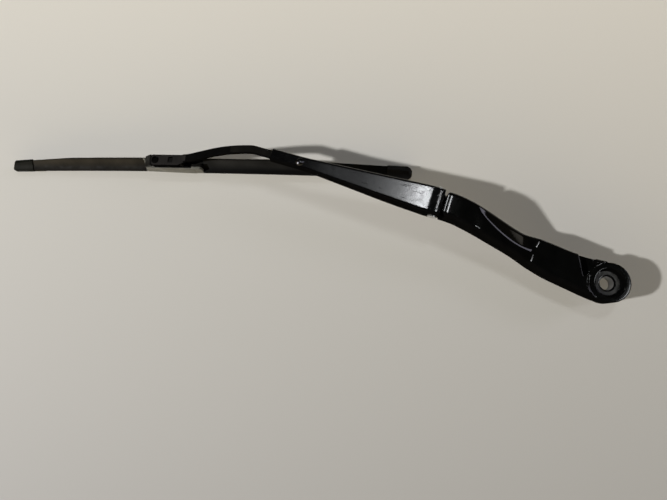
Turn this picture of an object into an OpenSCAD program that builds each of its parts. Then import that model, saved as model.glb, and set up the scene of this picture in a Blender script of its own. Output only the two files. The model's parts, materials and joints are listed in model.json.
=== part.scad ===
// Wiper arm with a flat blade: a die-cast head, a sprung hinged arm and a rocking blade.
// The origin is the spindle bore's centre on the hub's seat. +Z runs up the bore, +X along the
// pressed arm and +Y towards the side of the head that bulges out to the hub.

/* [Head] */
// Diameter of the hub
hub_d = 33.4; // [31:0.2:36]
// Height of the hub above its seat
hub_h = 18; // [16:0.5:20]
// Diameter of the recess for the spindle's nut
recess_d = 23.2; // [20:0.2:25]
// Depth of the recess for the spindle's nut
recess_depth = 6.5; // [5:0.5:9]
// Diameter of the spindle bore
bore_d = 11.6; // [9:0.1:13]
// Chamfer at both ends of the spindle bore
bore_chamfer = 0.6; // [0.3:0.1:1]
// Wall of the casting
cast_wall = 3; // [2.4:0.1:3.6]
// Width of the neck next to the hub
neck_w = 28; // [25:0.5:30]
// Height of the neck's top above the seat
neck_top = 20.5; // [19:0.5:23]
// Height of the neck's side walls
neck_depth = 16.5; // [14:0.5:18]
// Width of the head at the hinge
head_w = 21.4; // [20.6:0.2:22]
// Height of the head's side walls at the hinge
head_depth = 18.5; // [17.5:0.5:19.5]
// Radius of the head's long upper edges
head_edge_r = 3; // [2:0.25:4]
// Distance from the bore to the foot of the slope
slope_foot = 66; // [60:1:72]
// Distance from the bore to the head of the slope
slope_head = 124; // [118:1:130]
// Depth of the scooped facet at its lowest place
scoop_depth = 6.5; // [3:0.25:7.5]
// Width of the scooped facet at its wide end
scoop_w = 13.5; // [9:0.5:14]
// Depth of the pocket between the neck and the hub
pocket_depth = 4; // [2:0.5:6]
// Number of ribs across the underside of the neck
rib_count = 4; // [2:1:6]
// Thickness of a rib
rib_t = 2; // [1.5:0.1:3]

/* [Hinge] */
// Distance from the bore to the hinge pin
hinge_x = 155.5; // [150:0.5:162]
// Sideways distance from the bore to the arm's middle
arm_offset = 21.2; // [19:0.2:24]
// Height of the arm's top above the hub's seat
arm_top = 40; // [38:0.5:42]
// Distance from the arm's top down to the hinge pin
hinge_drop = 9; // [8.8:0.1:9.6]
// Diameter of the hinge pin
hinge_pin_d = 5; // [4.6:0.1:5.2]
// Wall of the hinge bushes
bush_wall = 0.8; // [0.6:0.1:0.9]
// Thickness of the bushes' flanges
flange_t = 1.1; // [0.8:0.1:1.2]
// Radius of the lugs round the hinge pin
lug_r = 6; // [5.6:0.1:6.2]
// Width of the slot between the lugs
slot_w = 6.4; // [5.6:0.2:7]
// Gap between the head's hollow front and the swing of the hood
hood_gap = 1; // [0.8:0.1:1.8]
// Diameter of the spring's anchor pin
anchor_d = 3.5; // [3:0.1:3.6]
// Distance from the hinge pin back to the anchor pin
anchor_back = 3; // [2.6:0.1:3.4]
// Distance from the hinge pin down to the anchor pin
anchor_down = 5.5; // [5.4:0.1:5.8]

/* [Arm] */
// Distance from the hinge pin to the hood's end
hood_back = 5; // [4.4:0.1:5.6]
// Width of the arm at the hinge
arm_w = 23.4; // [22.8:0.2:24]
// Width of the arm's crimped tip
crimp_w = 10.6; // [10:0.1:11.4]
// Thickness of the pressed steel
steel_t = 1.5; // [1.2:0.1:1.6]
// Height of the arm's side walls at the hinge
arm_depth = 17; // [16:0.5:18]
// Step down of the hood towards its end
hood_step = 0.8; // [0.4:0.1:1]
// Distance from the hinge pin to the start of the taper
taper_from = 8.5; // [8:0.5:12]
// Distance from the hinge pin to the end of the taper
taper_to = 116.5; // [112:0.5:120]
// Distance from the hinge pin to the arm's tip
arm_len = 147.5; // [144:0.5:151]
// Radius of the arm's long upper edges
arm_edge_r = 2; // [1.5:0.1:2.5]
// Distance from the hinge pin to the rivet
rivet_at = 121; // [119:0.5:126]
// Diameter of the rivet's shank
rivet_d = 4; // [3.4:0.1:4.2]

/* [Rod] */
// Distance from the hinge pin to the rod's inner end
rod_reach = 89.5; // [88:0.5:92]
// Width of the rod
rod_w = 7; // [6.4:0.1:7.2]
// Thickness of the rod
rod_t = 3.8; // [3.4:0.1:4]
// Steepest fall of the rod towards the blade, in degrees
rod_fall = 29; // [27:0.5:31]
// Thickness of the rod's flattened tip
tip_t = 1.6; // [1.3:0.1:1.8]
// Width of the rod's tip
tip_w = 10.4; // [10:0.1:10.8]
// Height of the tip's lips
tip_lip = 5; // [4:0.2:5.2]
// Height of the tip's top above the hub's seat
tip_top = 12; // [11.6:0.1:12.4]
// Diameter of the latch hole in the tip
latch_d = 6.4; // [6:0.1:6.8]
// Distance from the blade's pivot to the latch hole
latch_x = 11.6; // [11:0.1:12]

/* [Spring] */
// Diameter of the spring's wire
wire_d = 1.8; // [1.5:0.1:1.9]
// Mean diameter of the spring's coils
coil_d = 8.4; // [7.8:0.1:8.6]
// Number of turns in the spring
turns = 19; // [16:1:20]
// Thickness of the hook
hook_t = 4; // [3:0.2:4.4]
// Lift of the arm off the glass, in degrees
lift = 70; // [60:1:72]

/* [Blade] */
// Length of the blade
blade_len = 400; // [380:5:420]
// Distance from the blade's inner end to its pivot
pivot_from_end = 230; // [225:1:235]
// Angle of the blade to the arm, seen from above
blade_angle = 15.1; // [13:0.1:17]
// Distance along the arm from the bore to the blade's pivot
pivot_x = 405.6; // [402:0.2:410]
// Sideways distance from the bore to the blade's pivot
pivot_y = 4; // [3:0.2:5]
// Height of the blade's pivot above the hub's seat
pivot_z = 2.5; // [2.3:0.1:2.7]
// Depth of the wiping lip's ends below the hub's seat
lip_depth = 18; // [16:0.5:20]
// Rise of the free blade's middle above its ends
blade_rise = 8; // [6:0.5:10]
// Distance from the blade's middle line to the spoilers' far edge
far_half = 4.8; // [4.8:0.1:5.2]
// Distance from the blade's middle line to the outer spoiler's near edge
near_outer = 6.2; // [5.6:0.1:6.6]
// Distance from the blade's middle line to the inner spoiler's near edge
near_inner = 7.4; // [6.8:0.1:7.8]
// Narrowing of the blade's far side at its ends
end_taper = 2.2; // [1.4:0.1:2.4]
// Height of the spoilers' ridge above the lip
ridge_h = 14.2; // [13.4:0.2:15]
// Width of a spring rail
rail_w = 2.9; // [2.6:0.1:2.9]
// Thickness of a spring rail
rail_t = 0.9; // [0.7:0.1:1]
// Diameter of the blade's pivot pin
pivot_d = 4; // [3.6:0.1:4.2]
// Wall of the end caps
cap_wall = 0.6; // [0.5:0.1:0.9]
// Length of the end caps
cap_len = 24; // [20:0.5:26]
// Diameter of the release button's cap
button_d = 5.8; // [5.4:0.1:5.9]
// Travel of the release button
button_travel = 2; // [1.6:0.1:2.2]

/* [Hidden] */
$fn = 48;

fit_gap = 0.02;
run_gap = 0.05;
side_gap = 0.3;
eps = 0.01;

black_gloss = [0.05, 0.05, 0.055];
black_soft = [0.12, 0.12, 0.115];
black_moulded = [0.16, 0.16, 0.155];
bare_steel = [0.62, 0.63, 0.64];

// Profiles that bend: a line that is level up to a place and then rises, with a rounded bend
function bend_at(x, at, r) =
    x <= at - r ? 0 : x >= at + r ? x - at : pow(x - at + r, 2) / (4 * r);
function rise(x, from, to, r1, r2) = (bend_at(x, from, r1) - bend_at(x, to, r2)) / (to - from);
function steps(from, to, n) = [for (i = [0:n]) from + (to - from) * i / n];

// A closed solid through sections of equal point count, each given at its own station
function side_faces(m, n) = [for (i = [0:m - 2], k = [0:n - 1])
    [i * n + k, (i + 1) * n + k, (i + 1) * n + (k + 1) % n, i * n + (k + 1) % n]];
module loft(rings) {
    m = len(rings);
    n = len(rings[0]);
    polyhedron(points = [for (r = rings, p = r) p], faces = concat(side_faces(m, n),
        [[for (k = [0:n - 1]) k]], [[for (k = [0:n - 1]) m * n - 1 - k]]));
}
// The same for a channel, whose outer path runs one way and whose inner path runs back
module channel_loft(rings) {
    m = len(rings);
    n = len(rings[0]);
    last = (m - 1) * n;
    polyhedron(points = [for (r = rings, p = r) p], faces = concat(side_faces(m, n),
        [for (k = [0:n / 2 - 2]) [k, k + 1, n - 2 - k, n - 1 - k]],
        [for (k = [0:n / 2 - 2]) [last + n - 1 - k, last + n - 2 - k, last + k + 1, last + k]]),
        convexity = 8);
}

// Hinge
hinge_z = arm_top - hinge_drop;
hood_r = norm([hood_back, hinge_drop - hood_step]);
front_r = hood_r + hood_gap;
lug_out = arm_w / 2 - steel_t - 2 * run_gap - flange_t;
bush_out = lug_out + run_gap + flange_t;
bush_r = hinge_pin_d / 2 + run_gap + bush_wall;
flange_r = lug_r - 1.4;
pin_head_r = hinge_pin_d / 2 + 1.5;
pin_head_t = 1.2;
pin_reach = norm([anchor_back, anchor_down]);
eye_reach = anchor_d / 2 + 1.6;

module at_hinge() {
    translate([hinge_x, -arm_offset, hinge_z]) rotate([90, 0, 0]) children();
}
module across(length, r) {
    translate([0, 0, -length / 2]) cylinder(h = length, r = r);
}

// Head
head_front = hinge_x - sqrt(pow(front_r, 2) - pow(hinge_drop - hood_step, 2));
neck_flare = 34;
draft = 0.6;
crease_r = 0.9;
function head_mid(x) = -arm_offset * rise(x, 28, hinge_x - 15.5, 26, 8);
function head_slope(x) = rise(x, slope_foot, slope_head, 2.5, 12);
function head_top(x) = neck_top + (arm_top - hood_step / 2 - neck_top) * head_slope(x);
function head_low(x) = head_top(x) - neck_depth - (head_depth - neck_depth) * head_slope(x);
function head_half(x) = head_w / 2
    + (neck_w - head_w) / 2 * (1 - rise(x, slope_foot - 16, slope_foot + 16, 8, 8))
    + (hub_d - neck_w) / 2 * (1 - rise(x, 4, neck_flare, 6, 10));
scoop_deepest = slope_foot + 11;
function scoop_share(x) = min(1, max(0, (slope_head - 3 - x) / (slope_head - 3 - scoop_deepest)));
function scoop_drop(x) = scoop_depth * scoop_share(x) * rise(x, slope_foot - 2, slope_foot + 8, 1, 3);
scoop_from = cast_wall + head_edge_r / 3 + crease_r + 0.3;
function scoop_side(x) = scoop_w - (scoop_w - scoop_from) * pow(1 - scoop_share(x), 2);
function edge_arc(y, z, r, from, to, n) =
    [for (a = steps(from, to, n)) [y + r * cos(a), z + r * sin(a)]];
function head_path(x, in, r) = let (
    yn = head_mid(x) + head_half(x) - in, yf = head_mid(x) - head_half(x) + in,
    zt = head_top(x) - in, zf = zt - scoop_drop(x), zb = head_low(x),
    yc = head_mid(x) - head_half(x) + scoop_side(x))
    concat([[yn + draft, zb]], edge_arc(yn - r, zt - r, r, 0, 90, 4),
        [[yc + crease_r, zt], [yc, zt - 0.1 * scoop_share(x)],
         [yc - crease_r, zt - 0.25 * scoop_drop(x) / scoop_depth - 0.1 * scoop_share(x)]],
        edge_arc(yf + r, zf - r, r, 90, 180, 4), [[yf - draft, zb]]);
function reversed(list) = [for (i = [len(list) - 1:-1:0]) list[i]];
function head_section(x) = concat(head_path(x, 0, head_edge_r),
    reversed(head_path(x, cast_wall, head_edge_r / 3)));
module head_shell() {
    front = hinge_x - 5;
    stations = concat(steps(6, slope_foot - 6, 16), steps(slope_foot - 5, slope_foot + 12, 17),
        steps(slope_foot + 14.5, front, 29));
    channel_loft([for (x = stations) [for (p = head_section(x)) [x, p[0], p[1]]]]);
}
module neck_root() {
    far = 34;
    inset = cast_wall / 2;
    translate([0, 0, neck_top - neck_depth + 0.2]) linear_extrude(height = hub_h - pocket_depth - 4.2)
        polygon([[0, -hub_d / 2 + inset], [far, head_mid(far) - head_half(far) + inset],
            [far, head_mid(far) + head_half(far) - inset], [0, hub_d / 2 - inset]]);
}
module head_ribs() {
    for (i = [1:rib_count]) {
        x = hub_d / 2 + (hinge_x - 40 - hub_d / 2) * i / rib_count;
        half = head_half(x) - cast_wall / 2;
        low = head_low(x) + 3;
        translate([x - rib_t / 2, head_mid(x) - half, low])
            cube([rib_t, 2 * half, head_top(x) - scoop_drop(x) - cast_wall / 2 - low]);
    }
}
module head_curtain() {
    wall_r = front_r + cast_wall;
    half = head_w / 2 - cast_wall / 2;
    intersection() {
        at_hinge() difference() {
            across(2 * half, wall_r);
            across(2 * half + 2, front_r);
        }
        translate([hinge_x - wall_r - 1, -arm_offset - head_w, head_low(head_front) + 0.6])
            cube([wall_r - 4, 2 * head_w, head_depth - cast_wall / 2 - 0.6]);
    }
}
module head_lugs() {
    web = front_r + cast_wall / 2;
    width = lug_out - slot_w / 2;
    for (side = [-1, 1]) at_hinge() translate([0, 0, side * (slot_w / 2 + width / 2)]) {
        across(width, lug_r);
        translate([-anchor_back, -anchor_down, 0]) across(width, anchor_d / 2 + 2.2);
        translate([0, 0, -width / 2]) linear_extrude(height = width)
            polygon([[-lug_r + 0.6, -2], [-web, -4.8], [-web, -anchor_down - 3.4],
                [-anchor_back, -anchor_down - 3.4], [lug_r / 3, -lug_r + 1]]);
    }
    at_hinge() translate([0, 0, -lug_out + 1]) linear_extrude(height = 2 * lug_out - 2)
        polygon([[-web + 1, -anchor_down - 2.2], [-hood_back - 0.4, -anchor_down - 2.2],
            [-hood_back - 0.4, -anchor_down - 3.4], [-web + 1, -anchor_down - 3.4]]);
}
module neck_pocket() {
    lip = hub_h - pocket_depth;
    edge = hub_d / 2;
    translate([0, 0, lip]) linear_extrude(height = neck_top)
        polygon([[edge - 0.5, -edge - 8], [edge + 14, -edge - 8], [edge + 14, -edge + 0.6],
            [edge + 5.4, 2], [edge + 0.2, -3], [edge - 1.8, -8]]);
}
module mounting_head() {
    color(black_gloss) difference() {
        union() {
            difference() {
                union() {
                    head_shell();
                    neck_root();
                    head_ribs();
                }
                at_hinge() across(2 * head_w, front_r);
                neck_pocket();
                translate([0, 0, hub_h]) cylinder(h = neck_top, r = hub_d / 2 + 1.6);
            }
            cylinder(h = hub_h, r = hub_d / 2);
            head_curtain();
            head_lugs();
        }
        translate([0, 0, hub_h - recess_depth]) cylinder(h = recess_depth + 1, r = recess_d / 2);
        translate([0, 0, -1]) cylinder(h = hub_h, r = bore_d / 2);
        translate([0, 0, -eps])
            cylinder(h = bore_chamfer, r1 = bore_d / 2 + bore_chamfer, r2 = bore_d / 2);
        translate([0, 0, hub_h - recess_depth - bore_chamfer + eps])
            cylinder(h = bore_chamfer, r1 = bore_d / 2, r2 = bore_d / 2 + bore_chamfer);
        at_hinge() across(2 * lug_out + 1, bush_r + fit_gap);
        at_hinge() translate([-anchor_back, -anchor_down, 0])
            across(2 * lug_out + 1, anchor_d / 2 + fit_gap);
        at_hinge() across(slot_w, pin_reach + eye_reach + 0.3);
    }
}

// Pins and bushes of the hinge
module hinge_bush(side) {
    color(black_moulded) at_hinge() difference() {
        union() {
            translate([0, 0, side > 0 ? slot_w / 2 : -lug_out])
                cylinder(h = lug_out - slot_w / 2, r = bush_r);
            translate([0, 0, side > 0 ? lug_out : -bush_out + run_gap])
                cylinder(h = bush_out - lug_out - run_gap, r = flange_r);
        }
        across(2 * bush_out + 1, hinge_pin_d / 2 + run_gap);
    }
}
module hinge_pin() {
    color(bare_steel) at_hinge() {
        across(arm_w, hinge_pin_d / 2);
        for (side = [-1, 1])
            translate([0, 0, side * (arm_w + pin_head_t) / 2]) across(pin_head_t, pin_head_r);
    }
}
module spring_anchor_pin() {
    color(bare_steel) at_hinge() translate([-anchor_back, -anchor_down, 0])
        across(2 * lug_out, anchor_d / 2);
}

// Arm: a pressed channel, wide at the hinge and crimped round the rod at its tip
function arm_taper(x) = rise(x, taper_from, taper_to, 4, 8);
function arm_half(x) = arm_w / 2 - (arm_w - crimp_w) / 2 * arm_taper(x);
function arm_height(x) = arm_top - hood_step * (1 - rise(x, 3, taper_from - 0.5, 1.2, 1.2));
rod_top = arm_top - steel_t - 0.1;
crimp_low = rod_top - rod_t - 0.1 - steel_t;
function arm_low(x) = arm_top - arm_depth
    + (crimp_low - arm_top + arm_depth) * rise(x, 40, taper_to - 4, 10, 8);
function arm_path(x, in, r) = let (h = arm_half(x) - in, zt = arm_height(x) - in, zb = arm_low(x))
    concat([[h, zb]], edge_arc(h - r, zt - r, r, 0, 90, 4), edge_arc(r - h, zt - r, r, 90, 180, 4),
        [[-h, zb]]);
function arm_section(x) = concat(arm_path(x, 0, arm_edge_r),
    reversed(arm_path(x, steel_t, arm_edge_r - steel_t + 0.1)));
function arm_stations() = concat(steps(-hood_back, 2, 2), steps(3, taper_from + 1.5, 7),
    steps(taper_from + 6, arm_len, 28));
module in_arm() {
    translate([hinge_x, -arm_offset, 0]) children();
}
module arm_retainer() {
    flange_from = taper_to - 2;
    ear_cut = hinge_z - arm_top + arm_depth;
    color(black_gloss) difference() {
        union() {
            in_arm() channel_loft([for (x = arm_stations()) [for (p = arm_section(x)) [x, p[0], p[1]]]]);
            in_arm() for (side = [-1, 1])
                translate([flange_from, side > 0 ? 1.2 : 0.5 - crimp_w / 2, crimp_low])
                    cube([arm_len - flange_from, crimp_w / 2 - 1.7, steel_t]);
        }
        at_hinge() across(arm_w + 1, hinge_pin_d / 2 + fit_gap);
        at_hinge() translate([0, 0, -arm_w]) linear_extrude(height = 2 * arm_w)
            polygon([[-hood_back - 1, -ear_cut - 1], [-hood_back - 1, -1.5], [-hood_back, -1.5],
                [-hood_back + 1.6, -ear_cut + 2.2], [0.8, -ear_cut], [0.8, -ear_cut - 1]]);
        in_arm() translate([rivet_at, 0, 0]) cylinder(h = 2 * arm_top, r = rivet_d / 2 + fit_gap);
    }
}
module retainer_rivet() {
    dome_r = 5;
    dome_h = 1.4;
    color(bare_steel) in_arm() translate([rivet_at, 0, 0]) {
        translate([0, 0, crimp_low]) cylinder(h = arm_top - crimp_low + 0.2, r = rivet_d / 2);
        translate([0, 0, crimp_low - 1.1]) cylinder(h = 1.1, r = rivet_d / 2 + 1.2);
        intersection() {
            translate([0, 0, arm_top + dome_h - dome_r]) sphere(r = dome_r);
            translate([0, 0, arm_top]) cylinder(h = dome_h + 1, r = dome_r);
        }
    }
}

// Rod: flat steel from the spring's loop, through the crimp, down to the blade
rod_side = 2.2;
rod_bend_r = 14;
rod_leg = -(pivot_y + arm_offset - rod_side * cos(blade_angle)) / sin(blade_angle);
rod_bend_x = pivot_x + rod_leg * cos(blade_angle) + rod_side * sin(blade_angle);
rod_mitre = rod_bend_r * tan(blade_angle / 2);
rod_end_x = hinge_x + rod_reach;
rod_hole_x = rod_end_x + 3.4;
rod_hole_z = hinge_z + 1.5;
fall_start = -66;
fall_end = fall_start + (rod_top - tip_top) / tan(rod_fall);
tip_from = -19;
tip_to = 15.5;
lip_from = -11;
function rod_height(x) = rod_top
    - (rod_top - tip_top) * rise(x, fall_start, fall_end, 20, 4);
function rod_slope(x) = atan((rod_height(x + 0.5) - rod_height(x - 0.5)));
module on_blade() {
    translate([pivot_x, pivot_y, 0]) rotate([0, 0, blade_angle]) children();
}
module side_prism(width, mid) {
    translate([0, mid + width / 2, 0]) rotate([90, 0, 0]) linear_extrude(height = width) children();
}
module rod_inner_leg() {
    low = rod_hole_z - rod_t / 2;
    drop = rod_top - rod_t - low;
    run = 9;
    translate([0, -arm_offset, 0]) difference() {
        side_prism(rod_w, 0) polygon([[rod_end_x, low], [rod_end_x + 7, low],
            [rod_end_x + 7 + run, low + drop], [rod_bend_x - rod_mitre, low + drop],
            [rod_bend_x - rod_mitre, rod_top], [rod_end_x + 5.6 + run, rod_top],
            [rod_end_x + 5.6, low + rod_t], [rod_end_x, low + rod_t]]);
        translate([rod_hole_x, 0, 0]) cylinder(h = arm_top, r = wire_d / 2 + 0.9);
        translate([hinge_x + rivet_at, 0, 0])
            cylinder(h = 2 * arm_top, r = rivet_d / 2 + fit_gap);
    }
}
module rod_bend() {
    translate([rod_bend_x - rod_mitre, rod_bend_r - arm_offset, rod_top - rod_t])
        rotate([0, 0, -90]) rotate_extrude(angle = blade_angle)
            translate([rod_bend_r - rod_w / 2, 0]) square([rod_w, rod_t]);
}
module rod_outer_leg() {
    xs = steps(rod_leg + rod_mitre - 0.3, tip_from + 4, 26);
    top = [for (x = xs) [x, rod_height(x)]];
    under = [for (i = [26:-1:0]) let (a = i == 0 ? 0 : rod_slope(xs[i]))
        [xs[i] + rod_t * sin(a), rod_height(xs[i]) - rod_t * cos(a)]];
    side_prism(rod_w, -rod_side) polygon(concat(top, under));
}
module rod_tip() {
    half = tip_w / 2;
    difference() {
        union() {
            translate([0, 0, tip_top - tip_t]) linear_extrude(height = tip_t)
                polygon([[tip_from, -half], [tip_to - 1, -half], [tip_to, 1 - half],
                    [tip_to, half - 1], [tip_to - 1, half], [lip_from, half],
                    [tip_from, rod_w / 2 - rod_side]]);
            for (side = [-1, 1])
                translate([lip_from, side > 0 ? half - 1.2 : -half, tip_top - tip_lip])
                    cube([tip_to - 1 - lip_from, 1.2, tip_lip - tip_t / 2]);
        }
        translate([latch_x, 0, 0]) cylinder(h = 2 * tip_top, r = latch_d / 2);
        translate([-5, -2.5, 0]) cube([4, 5, 2 * tip_top]);
    }
}
module arm_rod() {
    color(black_soft) {
        rod_inner_leg();
        rod_bend();
        on_blade() {
            rod_outer_leg();
            rod_tip();
        }
    }
}

// Spring and hook, drawn in the link's own line from the anchor pin to the hole in the rod
link_angle = atan2(rod_hole_z - hinge_z + anchor_down, rod_hole_x - hinge_x + anchor_back);
link_len = norm([rod_hole_z - hinge_z + anchor_down, rod_hole_x - hinge_x + anchor_back]);
hook_share = 0.945;
pin_angle = atan2(anchor_down, anchor_back) - link_angle - lift * hook_share;
hook_hole = 22;
hook_bar = 4.6;
module on_link() {
    translate([hinge_x - anchor_back, -arm_offset, hinge_z - anchor_down])
        rotate([0, -link_angle, 0]) children();
}
module spring_hook() {
    claw_in = hinge_pin_d / 2 + 0.45;
    claw_out = claw_in + 3.05;
    color(bare_steel) on_link() rotate([90, 0, 0]) difference() {
        union() {
            across(hook_t, eye_reach);
            translate([pin_reach * cos(pin_angle), pin_reach * sin(pin_angle), -hook_t / 2])
                rotate([0, 0, 188]) rotate_extrude(angle = 190)
                    translate([claw_in, 0]) square([claw_out - claw_in, hook_t]);
            translate([pin_reach + claw_in + 0.8, -hook_bar / 2, -hook_t / 2])
                cube([hook_hole + 2.4 - pin_reach - claw_in - 0.8, hook_bar, hook_t]);
        }
        across(hook_t + 1, anchor_d / 2 + run_gap);
        translate([hook_hole + 0.25, 0, 0]) across(hook_t + 1, wire_d / 2 + 0.6);
    }
}
coil_r = coil_d / 2;
near_loop = hook_hole + coil_r;
far_loop = link_len - coil_r;
coil_from = near_loop + coil_r + wire_d / 2;
coil_to = far_loop - coil_r - wire_d / 2;
turn_steps = 12;
function unit(v) = v / norm(v);
function loop_point(mid, a, upright) = [mid + coil_r * cos(a),
    upright ? 0 : coil_r * sin(a), upright ? coil_r * sin(a) : 0];
function loop_out(a, upright) = [cos(a), upright ? 0 : sin(a), upright ? sin(a) : 0];
coil_turn = 360 * turns + 270;
function coil_point(t) = [coil_from + (coil_to - coil_from) * t,
    coil_r * cos(coil_turn * t), coil_r * sin(coil_turn * t)];
function spring_path() = concat(
    [for (a = [330:-30:90]) [loop_point(near_loop, a, false), loop_out(a, false)]],
    [for (i = [0:(turns + 0.75) * turn_steps]) let (t = i / ((turns + 0.75) * turn_steps))
        [coil_point(t), [0, cos(coil_turn * t), sin(coil_turn * t)]]],
    [for (a = [-90:30:150]) [loop_point(far_loop, a, true), loop_out(a, true)]]);
function wire_ring(path, i, sides) = let (
    n = len(path), p = path[i][0],
    t = unit(path[min(n - 1, i + 1)][0] - path[max(0, i - 1)][0]),
    out = unit(path[i][1] - (path[i][1] * t) * t), b = cross(t, out))
    [for (k = [0:sides - 1]) p + wire_d / 2 * (cos(-360 * k / sides) * out + sin(-360 * k / sides) * b)];
module tension_spring() {
    path = spring_path();
    color(bare_steel) on_link() loft([for (i = [0:len(path) - 1]) wire_ring(path, i, 6)]);
}

// Adapter inside the rod's tip, and its latch button
adapter_half = tip_w / 2 - 1.2 - run_gap;
block_top = tip_top - tip_t - run_gap;
guide_r = 2.2;
module adapter() {
    color(black_moulded) on_blade() difference() {
        union() {
            side_prism(2 * adapter_half - 1, 0) polygon([[-14, block_top], [-14, 4.4],
                [-4, 0.7], [4, 0.7], [23.6, 5], [23.6, 6.2], [17, tip_top - 0.4],
                [tip_to + 0.4, tip_top - 0.4], [tip_to + 0.4, block_top]]);
            side_prism(2 * adapter_half, 0) polygon([[-13.4, block_top], [-13.4, pivot_z + 4.6],
                [tip_to, pivot_z + 4.6], [tip_to, block_top]]);
            side_prism(tip_w, 0) polygon([[tip_to + 0.3, tip_top - 0.2], [tip_to + 0.3, pivot_z + 5],
                [24, 5.4], [24, 6.4], [17.2, tip_top - 0.2]]);
            translate([-4.9, -2.4, block_top - 1]) cube([3.8, 4.8, tip_top - 0.6 - block_top + 1]);
        }
        translate([0, 0, pivot_z]) rotate([90, 0, 0]) across(tip_w, pivot_d / 2 + run_gap);
        translate([latch_x, 0, 0]) cylinder(h = tip_top, r = guide_r + run_gap);
        translate([latch_x, 0, block_top - button_travel - 1.4])
            cylinder(h = tip_top, r = button_d / 2 + 0.15);
    }
}
module release_button() {
    cap_low = block_top - 1;
    color(black_moulded) on_blade() translate([latch_x, 0, 0]) {
        translate([0, 0, 5]) cylinder(h = cap_low + 0.5 - 5, r = guide_r);
        translate([0, 0, cap_low]) cylinder(h = tip_top - 0.9 - cap_low, r = button_d / 2);
        translate([0, 0, tip_top - 0.9 - eps])
            cylinder(h = 0.4, r1 = button_d / 2, r2 = button_d / 2 - 0.4);
    }
}

// Blade: everything follows one shallow arc, whose middle is above the ends
blade_inner = -pivot_from_end;
blade_outer = blade_len - pivot_from_end;
blade_mid = (blade_inner + blade_outer) / 2;
lip_mid_z = blade_rise - lip_depth;
arc_r = pow(blade_len, 2) / (8 * blade_rise) + blade_rise / 2;
arc_fn = 2400;
function arc_deg(x) = asin((x - blade_mid) / arc_r);
function lip_at(x) = lip_mid_z - arc_r + sqrt(pow(arc_r, 2) - pow(x - blade_mid, 2));
lip_z = lip_at(0);
module arc_sweep(from, to) {
    translate([blade_mid, 0, lip_mid_z - arc_r]) rotate([90, 0, 0])
        rotate([0, 0, 90 - arc_deg(to)])
            rotate_extrude(angle = arc_deg(to) - arc_deg(from), $fn = arc_fn)
                translate([arc_r, 0]) mirror([0, 1]) children();
}
shoulder_z = 3.9;
rail_z = 6.6;
rail_gap = 1;
rail_out = rail_gap + rail_w;
function both_sides(half_points) = concat(half_points,
    [for (i = [len(half_points) - 1:-1:0]) [half_points[i][0], -half_points[i][1]]]);
// Sections are written as height above the lip, then distance towards the near side
function rubber_section() = both_sides([[0, 0.3], [2.6, 0.35], [shoulder_z, 2.4], [4.7, 2.4],
    [4.9, 0.6], [5.5, 0.6], [5.7, rail_out - 1], [rail_z - run_gap, rail_out - 1],
    [rail_z - run_gap, rail_gap - 0.1], [rail_z + rail_t + run_gap, rail_gap - 0.1],
    [rail_z + rail_t + run_gap, 3], [rail_z + rail_t + 0.8, 3]]);
module rubber_shape() {
    polygon(rubber_section());
}
module rail_channel() {
    top = rail_z + rail_t + 2 * run_gap;
    polygon(both_sides([[4.8, rail_out - 0.9], [rail_z - 2 * run_gap, rail_out - 0.9],
        [rail_z - 2 * run_gap, rail_out + run_gap], [top, rail_out + run_gap],
        [top, 3 + run_gap], [rail_z + rail_t + 0.9, 3 + run_gap]]));
}
flank_z = 8.6;
end_h = 10.5;
taper_in = 110;
taper_out = 70;
function flank(t, near) =
    [flank_z + (ridge_h - flank_z) * pow(t, 1.8), near - (near + far_half - 0.9) * t];
function spoiler_outline(grow, near) = let (f = far_half + grow) concat(
    [[5.4 - grow, rail_out - 0.4], [5.9, near + grow]],
    [for (t = steps(0, 1, 8)) flank(t, near) + [grow, grow * (1 - 2 * t)]],
    [[ridge_h - 0.4, 0.1 - f], [ridge_h - 1.4, -f], [5.9, -f], [5.4 - grow, 0.4 - rail_out]]);
// Space that narrows on the far side and gets lower towards both ends of the blade
module blade_ends(grow) {
    side = -far_half - grow;
    reach = 12;
    start_in = blade_inner + taper_in;
    start_out = blade_outer - taper_out;
    over = ridge_h + 0.6 + grow;
    intersection() {
        translate([0, 0, -lip_depth - reach]) linear_extrude(height = 4 * reach)
            polygon([[blade_inner - 1, side + end_taper], [start_in, side], [start_out, side],
                [blade_outer + 1, side + end_taper], [blade_outer + 1, reach],
                [blade_inner - 1, reach]]);
        side_prism(2 * reach + 2, 0) polygon([[blade_inner - 1, -lip_depth - reach],
            [blade_outer + 1, -lip_depth - reach], [blade_outer + 1, end_h + grow - lip_depth],
            [start_out, lip_at(start_out) + over], [blade_mid, lip_mid_z + over + 4],
            [start_in, lip_at(start_in) + over], [blade_inner - 1, end_h + grow - lip_depth]]);
    }
}
spoiler_start = 26;
spoiler_stop = -31.6;
cap_nose = 8;
module spoiler(from, to, near) {
    color(black_soft) on_blade() difference() {
        intersection() {
            arc_sweep(from, to) polygon(spoiler_outline(0, near));
            blade_ends(0);
        }
        intersection() {
            arc_sweep(from - 1, to + 1) rail_channel();
            blade_ends(-0.95);
        }
    }
}
module spoiler_outer() {
    spoiler(spoiler_start, blade_outer - cap_nose - 0.8, near_outer);
}
module spoiler_inner() {
    spoiler(blade_inner + cap_nose + 0.8, spoiler_stop, near_inner);
}
module wiping_rubber() {
    color([0.06, 0.06, 0.06]) on_blade() intersection() {
        arc_sweep(blade_inner + 1.5, blade_outer - 1.5) rubber_shape();
        blade_ends(-1.05);
    }
}
module spring_rail(side) {
    color(bare_steel) on_blade() intersection() {
        arc_sweep(blade_inner + 1.8, blade_outer - 1.8)
            translate([rail_z, side > 0 ? rail_gap : -rail_out]) square([rail_t, rail_w]);
        blade_ends(-1);
    }
}
module spring_rail_front() {
    spring_rail(1);
}
module spring_rail_rear() {
    spring_rail(-1);
}
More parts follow.
